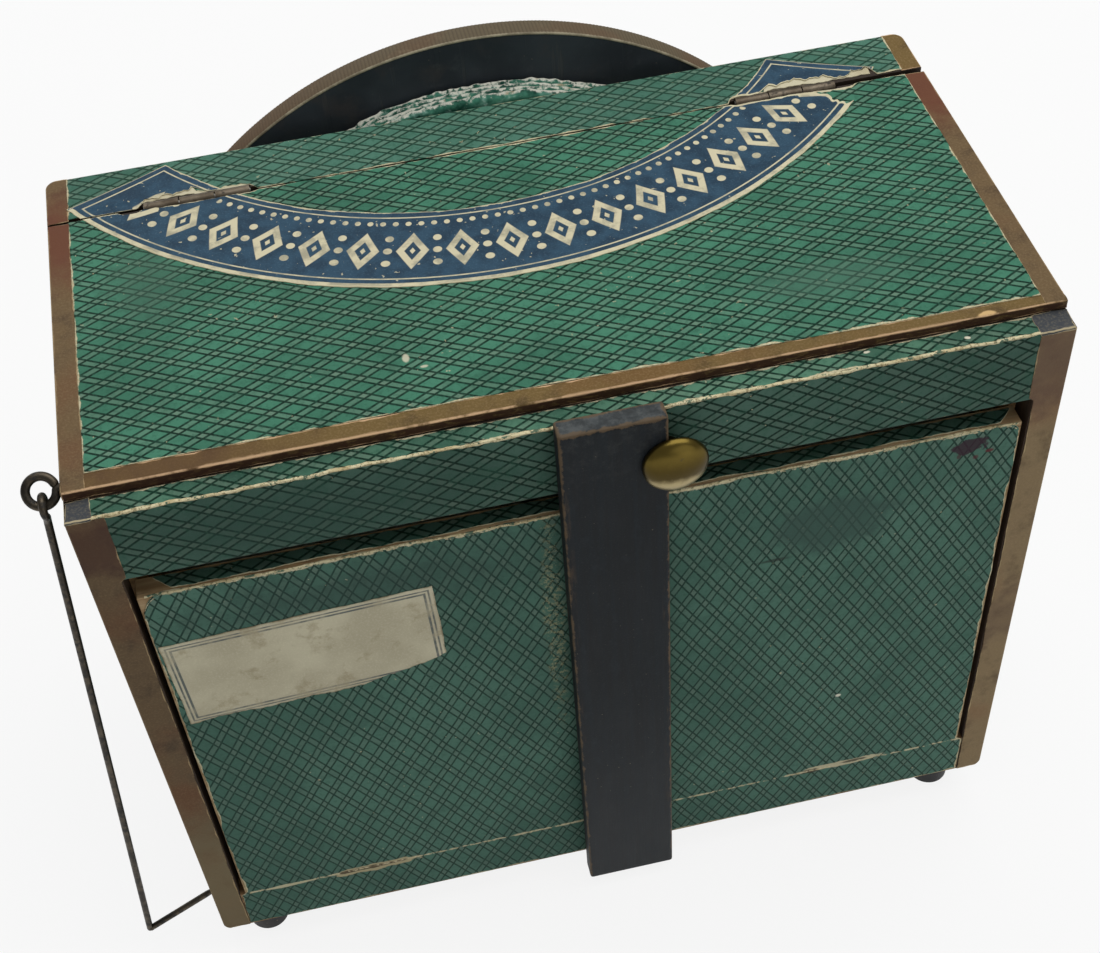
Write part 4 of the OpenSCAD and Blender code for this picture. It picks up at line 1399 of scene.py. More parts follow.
@dataclass
class Crescent:
    """Crescent label that crosses the hinge line, cut in two where the lid meets the fixed strip.

    Attributes:
        centre: Middle of both circles on the top.
        inner: Radius of the inner rim.
        outer: Radius of the outer rim.
        outer_end: Angle of an end at the outer rim, below the horizontal, in degrees.
        inner_end: The same at the inner rim.
        lid_line: Place along Y where the part on the lid stops.
        strip_line: Place along Y where the parts on the strip start.
        height: Height of the label's face.
        dip: Depth by which the left end drops beside the lid, which passes over it as it opens.
        dip_end: Place along Y where that drop ends.
        dip_x: Place along X where it starts.
        lost: Angle torn off the lid's right end at the outer rim, in radians.
        lost_depth: Depth of that tear from the outer rim.
    """

    centre: Pair = (-3.4, 114.0)
    inner: float = 96.5
    outer: float = 123.5
    outer_end: float = 34.3
    inner_end: float = 37.2
    lid_line: float = 39.4
    strip_line: float = 40.1
    height: float = 171.5 + PAPER_LIFT + 0.22
    dip: float = 0.21
    dip_end: float = 43.4
    dip_x: float = -87.0
    lost: float = 0.075
    lost_depth: float = 14.0

    @property
    def mean(self) -> float:
        """Radius half-way between the rims."""
        return (self.inner + self.outer) / 2

    def finish(self) -> CrescentPaper:
        """Give the label's finish, whose place along is measured at the middle radius.

        Returns:
            The finish.
        """
        half = math.radians(90.0 - self.inner_end) * self.mean
        flare = math.radians(self.inner_end - self.outer_end) * self.mean
        return CrescentPaper("blue crescent paper", self.outer - self.inner, half, flare)

    def patch(self, begin: Array, end: Array, radius: Array, seed: int,
              torn: float = -1.0) -> Surface:
        """Fill the label between two lines of angles.

        Args:
            begin: First angle at each radius.
            end: Last angle at each radius.
            radius: The radii.
            seed: Seed of the ragged edges.
            torn: Share of the way, 0 or 1, at which the edge is torn to cream; below 0 for none.

        Returns:
            The flat surface of that part.
        """
        sweep = np.abs(end - begin).max() * self.outer
        share = np.unique(np.concatenate([ladder(sweep, 0.8) / sweep, [1.0]]))[:, None]
        angle = begin + (end - begin) * share
        edge = np.minimum(np.minimum(radius - self.inner, self.outer - radius) + 0 * angle,
                          np.minimum(share, 1.0 - share) * sweep)
        arc = (angle + np.pi / 2) * self.mean
        shrink = np.where(radius > self.mean, -0.3, 0.3) * ripple(arc, seed)
        shrink = shrink * unit(1.0 - edge / 2.0)
        x = self.centre[0] + (radius + shrink) * np.cos(angle)
        y = self.centre[1] + (radius + shrink) * np.sin(angle)
        points = np.stack([x, y, np.full_like(x, self.height)], -1)
        paper = np.stack([arc, radius - self.inner + 0 * angle, edge], -1)
        rim = unit(1.0 - np.abs(share - torn) * sweep / 1.8) * (torn >= 0.0) + 0 * angle
        return Surface(points, {"paper": paper, "bend": rim}, inside=(0.0, 0.0, 0.0))

    def radii(self) -> Array:
        """Radii from the inner to the outer rim, closer at both."""
        return self.inner + ladder(self.outer - self.inner, 0.6)

    def meet(self, line: float, radius: Array, start: Array, stop: float, cut: Cut,
             sign: float) -> Array:
        """Find where each circle first meets the torn hinge line.

        Args:
            line: Place along Y of the line where nothing is torn.
            radius: The radii.
            start: Angle at which each circle starts, on the label's own side of the line.
            stop: Angle by which every circle has crossed the line.
            cut: Depth of the tear by place along X.
            sign: 1 where the tear moves the line towards +Y, -1 towards -Y.

        Returns:
            The angle of the last of many even steps that lies on the label's side.
        """
        angle = start + (stop - start) * np.linspace(0.0, 1.0, 1600)[:, None]
        x, y = self.centre[0] + radius * np.cos(angle), self.centre[1] + radius * np.sin(angle)
        past = sign * (y - line - sign * cut(x)) <= 0.0
        return np.take_along_axis(angle, np.maximum(past.argmax(0) - 1, 1)[None], 0)[0]

    def on_lid(self) -> Surface:
        """Make the main part, between its two crossings of the hinge line.

        Returns:
            Its surface.
        """
        radius = self.radii()
        torn = hinge_tear(0.5, 1.5, LID_PATCHES, 31)
        foot = np.full_like(radius, -np.pi / 2)
        left = self.meet(self.lid_line, radius, foot, -np.pi, torn, -1.0)
        right = self.meet(self.lid_line, radius, foot, 0.0, torn, -1.0)
        torn_off = unit((radius - self.outer + self.lost_depth) / self.lost_depth)
        lost = self.lost * torn_off ** 2
        return self.patch(left, right - lost * (0.6 + 0.8 * ripple(radius, 62)), radius, 63, 1.0)

    def on_strip(self, side: int) -> Surface:
        """Make an end on the fixed strip.

        Args:
            side: -1 for the left end and 1 for the right one.

        Returns:
            Its surface.
        """
        radius = self.radii()
        share = (radius - self.inner) / (self.outer - self.inner)
        end = np.radians(self.inner_end + (self.outer_end - self.inner_end) * share)
        start = -end if side > 0 else end - np.pi
        torn = hinge_tear(1.5, 4.6, STRIP_PATCHES, 141)
        cut = self.meet(self.strip_line, radius, start, -np.pi / 2, torn, 1.0)
        surface = self.patch(start, cut, radius, 70 + side, 1.0 if side > 0 else -1.0)
        if side < 0:
            near = unit(self.dip_end - surface.points[..., 1])
            surface.points[..., 2] -= self.dip * near * unit(self.dip_x - surface.points[..., 0])
        return surface


CRESCENT = Crescent()


@dataclass
class PaperedCase(SubAssembly):
    """The case: boards, their papers and bindings, feet, hinges and the view.

    Attributes:
        binding: Width of the brown bindings on the side panels' outer faces.
        front_gap: Distance of the front paper from the round opening.
        rail_lap: Width by which the rear bindings lap over the top rail's ends.
        edge_r: Radius of the papers on the rounded lower and front edges.
        corner_in: Distances of the ledge's two corner papers from the middle.
        corner_out: Distance of their ends.
        strip_side: Distance of the strip's paper from the strip's ends.
        strip_binding: Width of the bindings at the strip's ends.
        under_ends: Distances of the under-papers' ends from the middle.
    """

    binding: float = 7.0
    front_gap: float = 0.4
    rail_lap: float = 1.3
    edge_r: float = 2.6
    corner_in: Pair = (104.3, 101.6)
    corner_out: float = 110.2
    strip_side: float = 4.8
    strip_binding: float = 5.2
    under_ends: Pair = (95.0, 97.0)

    def build(self) -> None:
        """Lay every paper and dress every node of the case."""
        self.sides()
        self.rear()
        self.top()
        self.front()
        self.nodes()

    def sides(self) -> None:
        """Paper the side panels and bind their upright edges."""
        low, high = span("right_side_panel")
        bottom, top = low[2] + 0.2, high[2] - 0.1

        def lay(name: str, sheet: Sheet, finish: Finish) -> None:
            """Lay a sheet that follows the rounded lower edge.

            Args:
                name: Name of the piece.
                sheet: The sheet.
                finish: Its finish.
            """
            surface = sheet.surface()
            above = surface.points[..., 2] - low[2] + PAPER_LIFT
            draw_in(surface.points, above, low[0], high[0] + PAPER_LIFT, self.edge_r)
            self.lay(name, surface, finish, "side_wood", thickness=PAPER_T)

        for side, word in SIDES:
            face, wall = side * (high[0] + PAPER_LIFT), side * (low[0] + 0.1)
            inside = (side * 105.0, 0.0, 80.0)
            lay(f"side_paper_{word}", Sheet(
                Axis.Y, ((face - side * 0.06, bottom + 0.4), (face - side * 0.06, top)),
                (low[1] + 2.0, high[1] - 2.0), inside, 100 + side, start=bottom), CHECK_SIDE)
            rear = RUST if side < 0 else LIGHT_BROWN
            for end, name, finish in ((low[1], "rear", rear), (high[1], "front", BROWN)):
                out = math.copysign(PAPER_LIFT + 0.1, end)
                start = wall - side * self.rail_lap if end < 0 else wall
                line = ((start, end + out), (face, end + out), (face, end - math.copysign(self.binding, end)))
                lay(f"side_binding_{name}_{word}", Sheet(
                    Axis.Z, line, (bottom, top), inside, 110 + 3 * side + int(end > 0), 0.25,
                    start_cut=self.below_rail if end < 0 else None,
                    rounding=0.5 if end < 0 else 1.17 * self.edge_r), finish)

    def below_rail(self, place: Array) -> Array:
        """Inset of a rear binding's inner edge below the top rail, which it laps over."""
        return self.rail_lap * unit((span("back_top_rail")[0][2] + 0.4 - place) / 0.4)

    def rear(self) -> None:
        """Paper the ledge, its corners and the top rail."""
        low, high = span("back_top_rail")
        lid_low, _ = span("lid_panel")
        face, shelf = low[1] - PAPER_LIFT, high[2] + PAPER_LIFT
        under = low[2] - PAPER_LIFT
        self.paper("ledge_paper", Sheet(
            Axis.X, ((face + 0.25, shelf), (lid_low[1] - 0.55, shelf)), (low[0] - 3.2, high[0] - 0.3),
            (0.0, -54.0, 160.0), 120, 0.25, face + 0.25, worn_sides=False), CHECK_LEDGE)
        self.paper("rail_paper", Sheet(
            Axis.X, ((high[1] - 0.6, under), (face, under), (face, shelf - 0.1)),
            (low[0] + 0.1, high[0] - 0.1), (0.0, -53.0, 160.0), 124, 0.25, under - (high[1] - 0.6 - face),
            worn_sides=False), CHECK_RAIL)
        for side, word in SIDES:
            ends = sorted((side * self.corner_in[side > 0], side * self.corner_out))
            lift, out = shelf + 0.08, face - 0.2
            self.paper(f"ledge_corner_{word}", Sheet(
                Axis.X, ((lid_low[1] - 0.3, lift), (out, lift), (out, shelf - 0.8)), (ends[0], ends[1]),
                (side * 107.0, -54.0, 160.0), 128 + side, 0.5, step=0.5), SLATE, "side_wood")
        self.worn_edge("ledge_worn_edge", (low[0] - 2.6, high[0] - 0.6), face, shelf, 0.62, 132)

    def top(self) -> None:
        """Paper the fixed strip, bind its ends and lay the crescent's ends on it."""
        low, high = span("top_strip")
        face, front = high[2] + PAPER_LIFT, high[1] + PAPER_LIFT
        inside = (0.0, 50.0, 160.0)
        torn = hinge_tear(2.0, 5.3, STRIP_PATCHES, 141)

        def start_cut(place: Array) -> Array:
            """Tear over the hinges; set back under the crescent, at its drop and past the right hinge.

            Args:
                place: Places along X.

            Returns:
                The inset of the paper's start at each place.
            """
            set_back, gap_start, dip_start, dip_end = 62.0, 86.0, -86.6, -102.2
            under = 0.6 * unit((np.abs(place) - set_back) / 2.0)
            dipped = 3.7 * unit(np.minimum(dip_start - place, place - dip_end))
            gap = 1.6 * unit((place - gap_start) / 2.0)
            return np.maximum.reduce([torn(place), under, dipped, gap])

        self.paper("strip_paper", Sheet(
            Axis.X, ((low[1] - 1.3, face), (front, face), (front, low[2] + 0.1)),
            (low[0] + self.strip_side, high[0] - self.strip_side), inside, 140, 0.3, low[1] - 1.3,
            start_cut=start_cut), CHECK_STRIP)
        for side, word in SIDES:
            rim = side * (high[0] + PAPER_LIFT)
            inner, level = high[0] - self.strip_binding, face - 0.05
            surface = Sheet(
                Axis.Y, ((side * inner, level), (rim, level), (rim, low[2] + 0.1)),
                (low[1] + (0.1 if side > 0 else -1.2), front), (side * 100.0, 50.0, 160.0), 144 + side,
                0.2).surface()
            draw_in(surface.points, front - surface.points[..., 1], inner, high[0] + PAPER_LIFT, self.edge_r)
            finish = LID_SIDE if side < 0 else LID_BROWN
            self.lay(f"strip_binding_{word}", surface, finish, "papered_wood", thickness=PAPER_T)
            self.lay(f"crescent_strip_{word}", CRESCENT.on_strip(side), CRESCENT.finish(), thickness=PAPER_T)
            ends = sorted((side * UNDER_START, side * self.under_ends[side > 0]))
            self.paper(f"strip_underpaper_{word}", Sheet(
                Axis.X, ((low[1] + 0.2, face - 0.06), (low[1] + 6.4, face - 0.06)), (ends[0], ends[1]),
                inside, 150 + side, 0.3, step=0.5, start_cut=hinge_tear(0.6, 0.9, STRIP_PATCHES, 151)), UNDER)

    def front(self) -> None:
        """Paper the front face round the opening.

        A point is part of the way from the opening's circle to the border of the face, which the
        ray from the opening's middle meets at the nearer of its upright and level sides.
        """
        low, high = span("front_panel")
        ring_low, ring_high = span("bellows_rear_ring")
        middle = (ring_low + ring_high) / 2
        radius = (ring_high[0] - ring_low[0]) / 2 + self.front_gap
        turn = around(720)
        away = np.stack([np.cos(turn), np.sin(turn)], -1)
        sides = np.where(~np.signbit(away), high[[0, 2]] - 0.4, low[[0, 2]] + 0.4) - middle[[0, 2]]
        safe = np.where(np.abs(away) < 1e-6, np.copysign(1e-6, away), away)
        border = (sides / safe).min(-1)
        share = ladder(40.0, 1.6) / 40.0
        reach = radius + (border - radius) * share
        x, z = middle[0] + reach * away[..., 0], middle[2] + reach * away[..., 1]
        edge = np.minimum(share, 1.0 - share) * (border - radius)
        points = np.stack([x, np.full_like(x, high[1] + PAPER_LIFT), z], -1)
        surface = Surface(points, {"paper": np.stack([x, z, edge], -1), "bend": np.zeros_like(x)},
                          (True, False), (0.0, 0.0, 80.0))
        self.lay("front_paper", surface, CHECK_SIDE, "papered_wood", thickness=PAPER_T)

    def nodes(self) -> None:
        """Dress the case's CAD nodes."""
        self.dress(UPRIGHT, "left_side_panel", "right_side_panel")
        self.dress(CORE, "front_panel", "back_bottom_rail")
        self.dress(SOILED, "top_strip", "back_top_rail")
        self.dress(PINE, "bottom_board", "view_runners", "view_frame")
        low, high = span("view_sheet")
        self.dress(WashedPaper("washed view paper", low[2], high[2]), "view_sheet")
        self.dress(FOOT_BLACK, "feet")
        self.dress(STEEL, "foot_screws", "hinge_pins", "hinge_fixed_tacks", "bracket_screws")
        self.dress(HINGE_METAL, "hinge_fixed_leaves", "bar_bracket")
        self.dress(CARD, "bellows_rear_ring")


@dataclass
class Lid(SubAssembly):
    """The lid: green sheet, brown binding, the crescent's main part, lining and screw eye.

    Attributes:
        binding: Width of the binding on the lid's top.
        taper: Width that the rear binding loses towards its right end.
        taper_start: Place along X where that starts.
        taper_run: Length over which it grows.
        under_end: Distance of the under-papers' ends from the middle.
        wire: Radius of the eye's wire.
        ring: Radius of the eye, to the middle of its wire.
        lean: Lean of the eye's ring in degrees.
        ring_turn: Turn of the ring in degrees, up to its gap.
    """

    body: str = "lid"
    binding: float = 4.9
    taper: float = 1.7
    taper_start: float = -20.0
    taper_run: float = 100.0
    under_end: float = 95.0
    wire: float = 1.0
    ring: float = 3.2
    lean: float = 45.0
    ring_turn: float = 338.0

    def build(self) -> None:
        """Lay the papers and the eye, and dress the CAD nodes."""
        low, high = span("lid_panel")
        face, foot = high[2] + PAPER_LIFT, low[2] + 0.12
        inside = (0.0, 0.0, 150.0)
        rim = low[1] - PAPER_LIFT
        start = low[1] + self.binding - 0.3
        self.paper("lid_binding_near", Sheet(
            Axis.X, ((low[1] + self.binding - self.taper, face - 0.1), (rim, face - 0.1), (rim, foot)),
            (low[0] - 0.1, high[0] + 0.1), inside, 20, 0.3, self.taper,
            start_cut=lambda place: self.narrowing(place) - self.taper), LID_BROWN)
        for side, word in SIDES:
            out, level = side * (high[0] + PAPER_LIFT), face - 0.04
            inner = side * (high[0] - self.binding - 0.3)
            self.paper(f"lid_binding_{word}", Sheet(
                Axis.Y, ((inner, level), (out, level), (out, foot)),
                (low[1] + 0.02, high[1] - 0.1), inside, 24 + side, 0.3), LID_SIDE)
        self.paper("lid_paper", Sheet(
            Axis.X, ((start, face + 0.06), (high[1], face + 0.06)),
            (low[0] + self.binding, high[0] - self.binding), inside, 30, 0.15, start,
            start_cut=lambda place: -self.narrowing(place),
            end_cut=hinge_tear(0.8, 2.0, LID_PATCHES, 31)), CHECK_LID)
        for side, word in SIDES:
            ends = sorted((side * UNDER_START, side * self.under_end))
            self.paper(f"lid_underpaper_{word}", Sheet(
                Axis.X, ((high[1] - 4.0, face - 0.06), (high[1] - 0.1, face - 0.06)), (ends[0], ends[1]),
                inside, 34 + side, 0.3, step=0.5, end_cut=hinge_tear(0.3, 0.5, LID_PATCHES, 35)), UNDER)
        self.lay("lid_crescent", CRESCENT.on_lid(), CRESCENT.finish(), thickness=PAPER_T)
        self.eye()
        self.dress(SOILED, "lid_panel")
        self.dress(CARD, "lid_lining")
        self.dress(HINGE_METAL, "hinge_lid_leaves")
        self.dress(STEEL, "hinge_lid_tacks")

    def narrowing(self, place: Array) -> Array:
        """Width that the rear binding has lost at a place along X."""
        return self.taper * unit((place - self.taper_start) / self.taper_run)

    def eye(self) -> None:
        """Bend the screw eye: a shank along X that runs into a ring with a small gap."""
        low, high = span("lid_screw_eye")
        middle_y, middle_z = (low[1] + high[1]) / 2, (low[2] + high[2]) / 2
        middle = np.array([low[0] + self.wire + self.ring, middle_y, middle_z])
        lean = math.radians(self.lean)
        turn = np.linspace(0, -np.radians(self.ring_turn), 60)[:, None]
        ring = middle + self.ring * (np.cos(turn) * np.array([1.0, 0.0, 0.0])
                                     + np.sin(turn) * np.array([0.0, math.cos(lean), math.sin(lean)]))
        shank = np.array([[high[0] - 1.0, middle_y, middle_z]])
        path = soften(np.vstack([shank, ring]), 0.2, 0.9)
        self.lay("lid_eye", tube(path, np.full(len(path), self.wire), (0.0, -math.sin(lean), math.cos(lean))),
                 DARK_WIRE, "dark_wire", ("lid_screw_eye",))


@dataclass
class LinkRod(SubAssembly):
    """The wire rod: an open loop round the eye's wire, a leaning run, a bend and a hook arm.

    Attributes:
        radius: Radius of the wire.
        loop: Radius of the loop, to the middle of its wire.
        bend: Lower bend of the rod.
        tip: End of the hook arm.
        loop_turn: First and last angle of the loop in degrees.
        neck: Shares of the way from the loop's middle to the bend at which the neck's points lie.
        step: Distance between points of the wire.
    """

    body: str = "rod"
    radius: float = 0.87
    loop: float = 2.21
    bend: Triple = (-131.3, -49.86, -3.01)
    tip: Triple = (-111.3, -49.86, 9.39)
    loop_turn: Pair = (-318.0, -28.0)
    neck: Pair = (0.02573, 0.04094)
    step: float = 0.25

    def build(self) -> None:
        """Bend the rod; its loop starts beside the neck and runs nearly all the way round."""
        joint = next(j for j in frame["record"]["behaviour"]["joints"] if j["name"] == "rod_swing")
        middle = np.array(joint["pos_m"]) / MM
        turn = np.radians(np.linspace(*self.loop_turn, 60))[:, None]
        level, upright = np.array([0.0, 1.0, 0.0]), np.array([0.0, 0.0, 1.0])
        loop = middle + self.loop * (np.sin(turn) * level - np.cos(turn) * upright)
        neck = middle + (np.array(self.bend) - middle) * np.array(self.neck)[:, None]
        path = soften(np.vstack([loop, neck, np.array([self.bend, self.tip])]), self.step, 1.3)
        ends = np.minimum(np.arange(len(path)), np.arange(len(path))[::-1]) * self.step
        radius = self.radius * (0.8 + 0.2 * unit(ends / 2.0))
        self.lay("link_rod_wire", tube(path, radius, (1.0, 0.0, 0.0)), DARK_WIRE, "dark_wire", ("link_rod",))


@dataclass
class RearFlap(SubAssembly):
    """The flap: one sheet over the flap and the bottom rail, top edge paper, label and lining.

    Attributes:
        fold: Height of the fold.
        fold_half: Half height of the stretch that bends; not used.
        corner: Radius of the sheet's corners.
        torn_x: Place along X where the torn left corner starts.
        label_low: Lower left corner of the label before it is turned.
        label_high: Upper right corner of the label before it is turned.
        label_turn: Turn of the label in degrees.
        label_tear: Length and depth of the tear at the label's lower right corner.
    """

    body: str = "flap"
    fold: float = 15.75
    fold_half: float = 1.1
    corner: float = 3.6
    torn_x: float = -96.0
    label_low: Pair = (-100.4, 95.6)
    label_high: Pair = (-37.1, 126.0)
    label_turn: float = 2.0
    label_tear: Pair = (21.0, 4.6)

    def build(self) -> None:
        """Lay the papers and dress the flap's core."""
        self.back()
        self.edges()
        self.label()
        self.dress(FLAP_CORE, "flap_panel")

    def back(self) -> None:
        """Lay the sheet that hinges the flap, wide on the rail and narrower on the flap."""
        low, high = span("flap_panel")
        rail_low, rail_high = span("back_bottom_rail")
        face, start = low[1] - PAPER_LIFT, rail_low[2] + 0.3
        narrow = rail_high[0] - high[0]

        def side_cut(way: Array) -> Array:
            """Inset of the sides above the fold."""
            return narrow * unit((way + start - self.fold) / 1.2 + 0.5)

        def end_cut(place: Array) -> Array:
            """Worn strip along the top edge and a torn corner at the left."""
            torn = 2.6 * unit((self.torn_x - place) / 6.0) ** 1.6
            return 0.05 + torn + 0.25 * ripple(place, 47)

        shelf = high[2] + PAPER_LIFT
        sheet = Sheet(
            Axis.X, ((face, start), (face, shelf), (low[1] + 0.7, shelf)),
            (rail_low[0] + 0.1, rail_high[0] - 0.1), (0.0, -50.0, 70.0), 40, 0.5, start,
            creases=(self.fold - start,), corner=self.corner, end_cut=end_cut, side_cut=side_cut)
        piece = self.lay("back_paper", sheet.surface(), CHECK_BACK, "hinge_paper", ("flap_paper_hinge",),
                         PAPER_T, False)
        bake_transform(piece)

    def edges(self) -> None:
        """Paper the flap's top edge and line its inner face."""
        low, high = span("flap_panel")
        shelf = high[2] + PAPER_LIFT
        self.paper("flap_top_paper", Sheet(
            Axis.X, ((low[1] + 0.8, shelf), (high[1] - 0.2, shelf)), (low[0] + 3.6, high[0] - 1.0),
            (0.0, -54.0, 100.0), 52, 0.5, side_cut=lambda way: 0.9 * np.clip(4.0 - way, 0.0, 4.0)),
            CHECK_RAIL)
        self.worn_edge("flap_worn_edge", (low[0] + 1.6, high[0] - 0.8), low[1] - PAPER_LIFT, shelf, 0.4, 54)
        inner = high[1] + PAPER_LIFT
        self.paper("flap_lining", Sheet(
            Axis.X, ((inner, low[2] + 2.0), (inner, high[2] - 2.0)), (low[0] + 2.0, high[0] - 2.0),
            (0.0, -55.0, 70.0), 56, 0.5), BUFF)

    def label(self) -> None:
        """Lay the small label: a sheet with a torn lower right corner, turned a little."""
        low, high = np.array(self.label_low), np.array(self.label_high)
        length, depth = self.label_tear

        def start_cut(place: Array) -> Array:
            """Torn lower right corner."""
            torn = unit((place - high[0] + length) / length) ** 1.3
            return depth * torn + 0.8 * ripple(place, 83)

        face = span("flap_panel")[0][1] - PAPER_LIFT - 0.2
        surface = Sheet(
            Axis.X, ((face, low[1]), (face, high[1])), (low[0], high[0]), (-70.0, -50.0, 100.0), 80,
            0.3, low[1], 0.6, start_cut=start_cut).surface()
        turn, middle = math.radians(self.label_turn), (low + high) / 2
        flat = surface.points[..., [0, 2]] - middle
        spin = np.array([[math.cos(turn), math.sin(turn)], [-math.sin(turn), math.cos(turn)]])
        surface.points[..., [0, 2]] = flat @ spin + middle
        finish = LabelPaper("bordered label paper", tuple(low), tuple(high))
        self.lay("flap_label", surface, finish, thickness=PAPER_T)


@dataclass
class LockingBar(SubAssembly):
    """The bar with its rounded edges and foot mortise, and the domed stud beside it.

    Attributes:
        rounding: Radius of the bar's edges.
        mortise_half: Half width of the mortise in the foot.
        mortise_floor: Place along Y of the mortise's floor.
        mortise_top: Height of the mortise's upper end.
        peg: Radius of the stud's peg.
        shank: Radius of the stud's shank.
        rim: Height of the stud's thin rim.
    """

    body: str = "bar"
    rounding: float = 0.8
    mortise_half: float = 3.3
    mortise_floor: float = -60.7
    mortise_top: float = -1.4
    peg: float = 1.5
    shank: float = 2.2
    rim: float = 0.75

    def build(self) -> None:
        """Make the bar and the stud, and dress the pivot pin."""
        self.bar()
        self.stud()
        self.dress(STEEL, "bar_pivot_pin")

    def bar(self) -> None:
        """Loft the bar.

        A loop round the bar is carried up it and is drawn together to a line at both ends. Points
        of the inner face that lie over the mortise drop to its floor below the mortise's top. Then
        each point is moved so that it lies at the rounding from the box that is smaller by it.
        """
        low, high = span("locking_bar")
        middle, half = (low[0] + high[0]) / 2, (high[0] - low[0]) / 2
        side = ladder(2 * half, 0.8) - half
        slot = self.mortise_half + np.array([-0.02, 0.02])
        x = np.unique(np.concatenate([side, slot, -slot]))
        y = low[1] + ladder(high[1] - low[1], 0.5)[1:-1]
        loop_x = np.concatenate([x, np.full(y.size, half), x[::-1], np.full(y.size, -half)])
        loop_y = np.concatenate([np.full(x.size, low[1]), y, np.full(x.size, high[1]), y[::-1]])
        core = (low[1] + self.mortise_floor) / 2
        z = low[2] + ladder(high[2] - low[2], 1.1)
        z = np.sort(np.concatenate([z, self.mortise_top + np.array([-0.02, 0.02])]))
        rows_y = np.tile(loop_y, (z.size, 1))
        over = (np.abs(loop_x) < self.mortise_half) & (loop_y > self.mortise_floor)
        rows_y = np.where(over[None] & (z < self.mortise_top)[:, None], self.mortise_floor, rows_y)
        points = np.stack(np.broadcast_arrays(loop_x + middle, rows_y, z[:, None]), -1)
        ends = points[[0, -1]].copy()
        ends[..., 1] = core
        points = np.concatenate([ends[:1], points, ends[1:]])
        inner = np.clip(points, low + self.rounding, high - self.rounding)
        away = points - inner
        size = np.linalg.norm(away, axis=-1, keepdims=True)
        tiny = 1e-9
        moved = inner + away / np.maximum(size, tiny) * np.minimum(size, self.rounding)
        points = np.where(size > tiny, moved, points)
        finish = BlackBar("blackened bar wood", tuple(low), tuple(high))
        surface = Surface(points, closed=(False, True), poles=True)
        self.lay("bar_wood", surface, finish, "bar_wood", ("locking_bar",))

    def stud(self) -> None:
        """Turn the stud: peg, shank, a thin rim and a dome that is part of an ellipse."""
        low, high = span("latch_stud")
        bar_low, bar_high = span("locking_bar")
        radius, seat = (high[0] - low[0]) / 2, bar_low[1]
        curve = np.linspace(0, np.pi / 2, 22)
        rim = seat - self.rim
        dome_r, dome_y = radius * np.cos(curve), rim - (rim - low[1]) * np.sin(curve)
        step = bar_high[1] + 0.2
        foot_r = [0.0, self.peg - 0.3, self.peg, self.peg, self.shank, self.shank, radius - 0.35, radius]
        foot_y = [high[1], high[1], high[1] - 0.3, step, step, seat, seat, seat - 0.3]
        radii, place = np.concatenate([foot_r, dome_r]), np.concatenate([foot_y, dome_y])
        turn = around(96)
        dent = 1.0 + 0.006 * np.sin(3 * turn + 0.7) + 0.004 * np.sin(7 * turn)
        middle = (low[2] + high[2]) / 2
        surface = turned(radii * dent, place, ((low[0] + high[0]) / 2, middle), 96)
        finish = StudBrass("polished stud brass", middle, radius)
        self.lay("stud_brass", surface, finish, "brass", ("latch_stud",))


@dataclass
class LensFront(SubAssembly):
    """The lens board with its ribbed band, the lens in its cell and the front card ring.

    Attributes:
        ribs: Number of ribs round the band.
        rib_depth: Depth of a rib.
        lap: Width of the band's laps on the board's two faces.
        wall: Depth of the channel from the rim.
        skin: Distance of the laps' outer faces from the board.
    """

    body: str = "lens_front"
    ribs: int = 640
    rib_depth: float = 0.07
    lap: float = 0.7
    wall: float = 0.6
    skin: float = 0.12

    def build(self) -> None:
        """Make the band and dress the CAD nodes."""
        self.band()
        self.dress(BLACK, "lens_board", "lens_cell")
        self.dress(CARD, "bellows_front_ring")
        self.dress(BRASS, "lens_ring", "cell_screws")
        self.dress(GroundGlass("ground lens glass"), "lens")

    def band(self) -> None:
        """Turn the band: a thin channel round the rim whose outer face swells in even ribs."""
        low, high = span("rim_band")
        radius = (high[0] - low[0]) / 2
        centre = ((low[0] + high[0]) / 2, (low[2] + high[2]) / 2)
        back, front = low[1] - self.skin, high[1] + self.skin
        inner, lap = radius - self.wall, radius - self.lap
        outside = np.array([
            [lap, back], [radius - 0.4, back], [radius - 0.1, back + 0.15], [radius, back + 0.5],
            [radius, (back + front) / 2], [radius, front - 0.5], [radius - 0.1, front - 0.15],
            [radius - 0.4, front], [lap, front]])
        hidden = np.array([[lap, front - 0.1], [inner, front - 0.1], [inner, back + 0.1], [lap, back + 0.1]])
        profile = np.vstack([outside, hidden])
        count = self.ribs * 4
        turn = around(count)
        wave = 0.5 + 0.5 * np.cos(turn * self.ribs)
        ribbed = np.concatenate([[0.0], np.ones(7), [0.0], np.zeros(4)])
        radii = profile[:, 0] - self.rib_depth * (1.0 - wave) * ribbed
        surface = turned(radii, profile[:, 1] + 0 * turn, centre, count, True)
        surface.fields["bend"] = np.broadcast_to(wave, radii.shape)
        surface.poles = False
        finish = RibbedBand("ribbed band paper", back)
        self.lay("rim_band_paper", surface, finish, "band_paper", ("rim_band",))


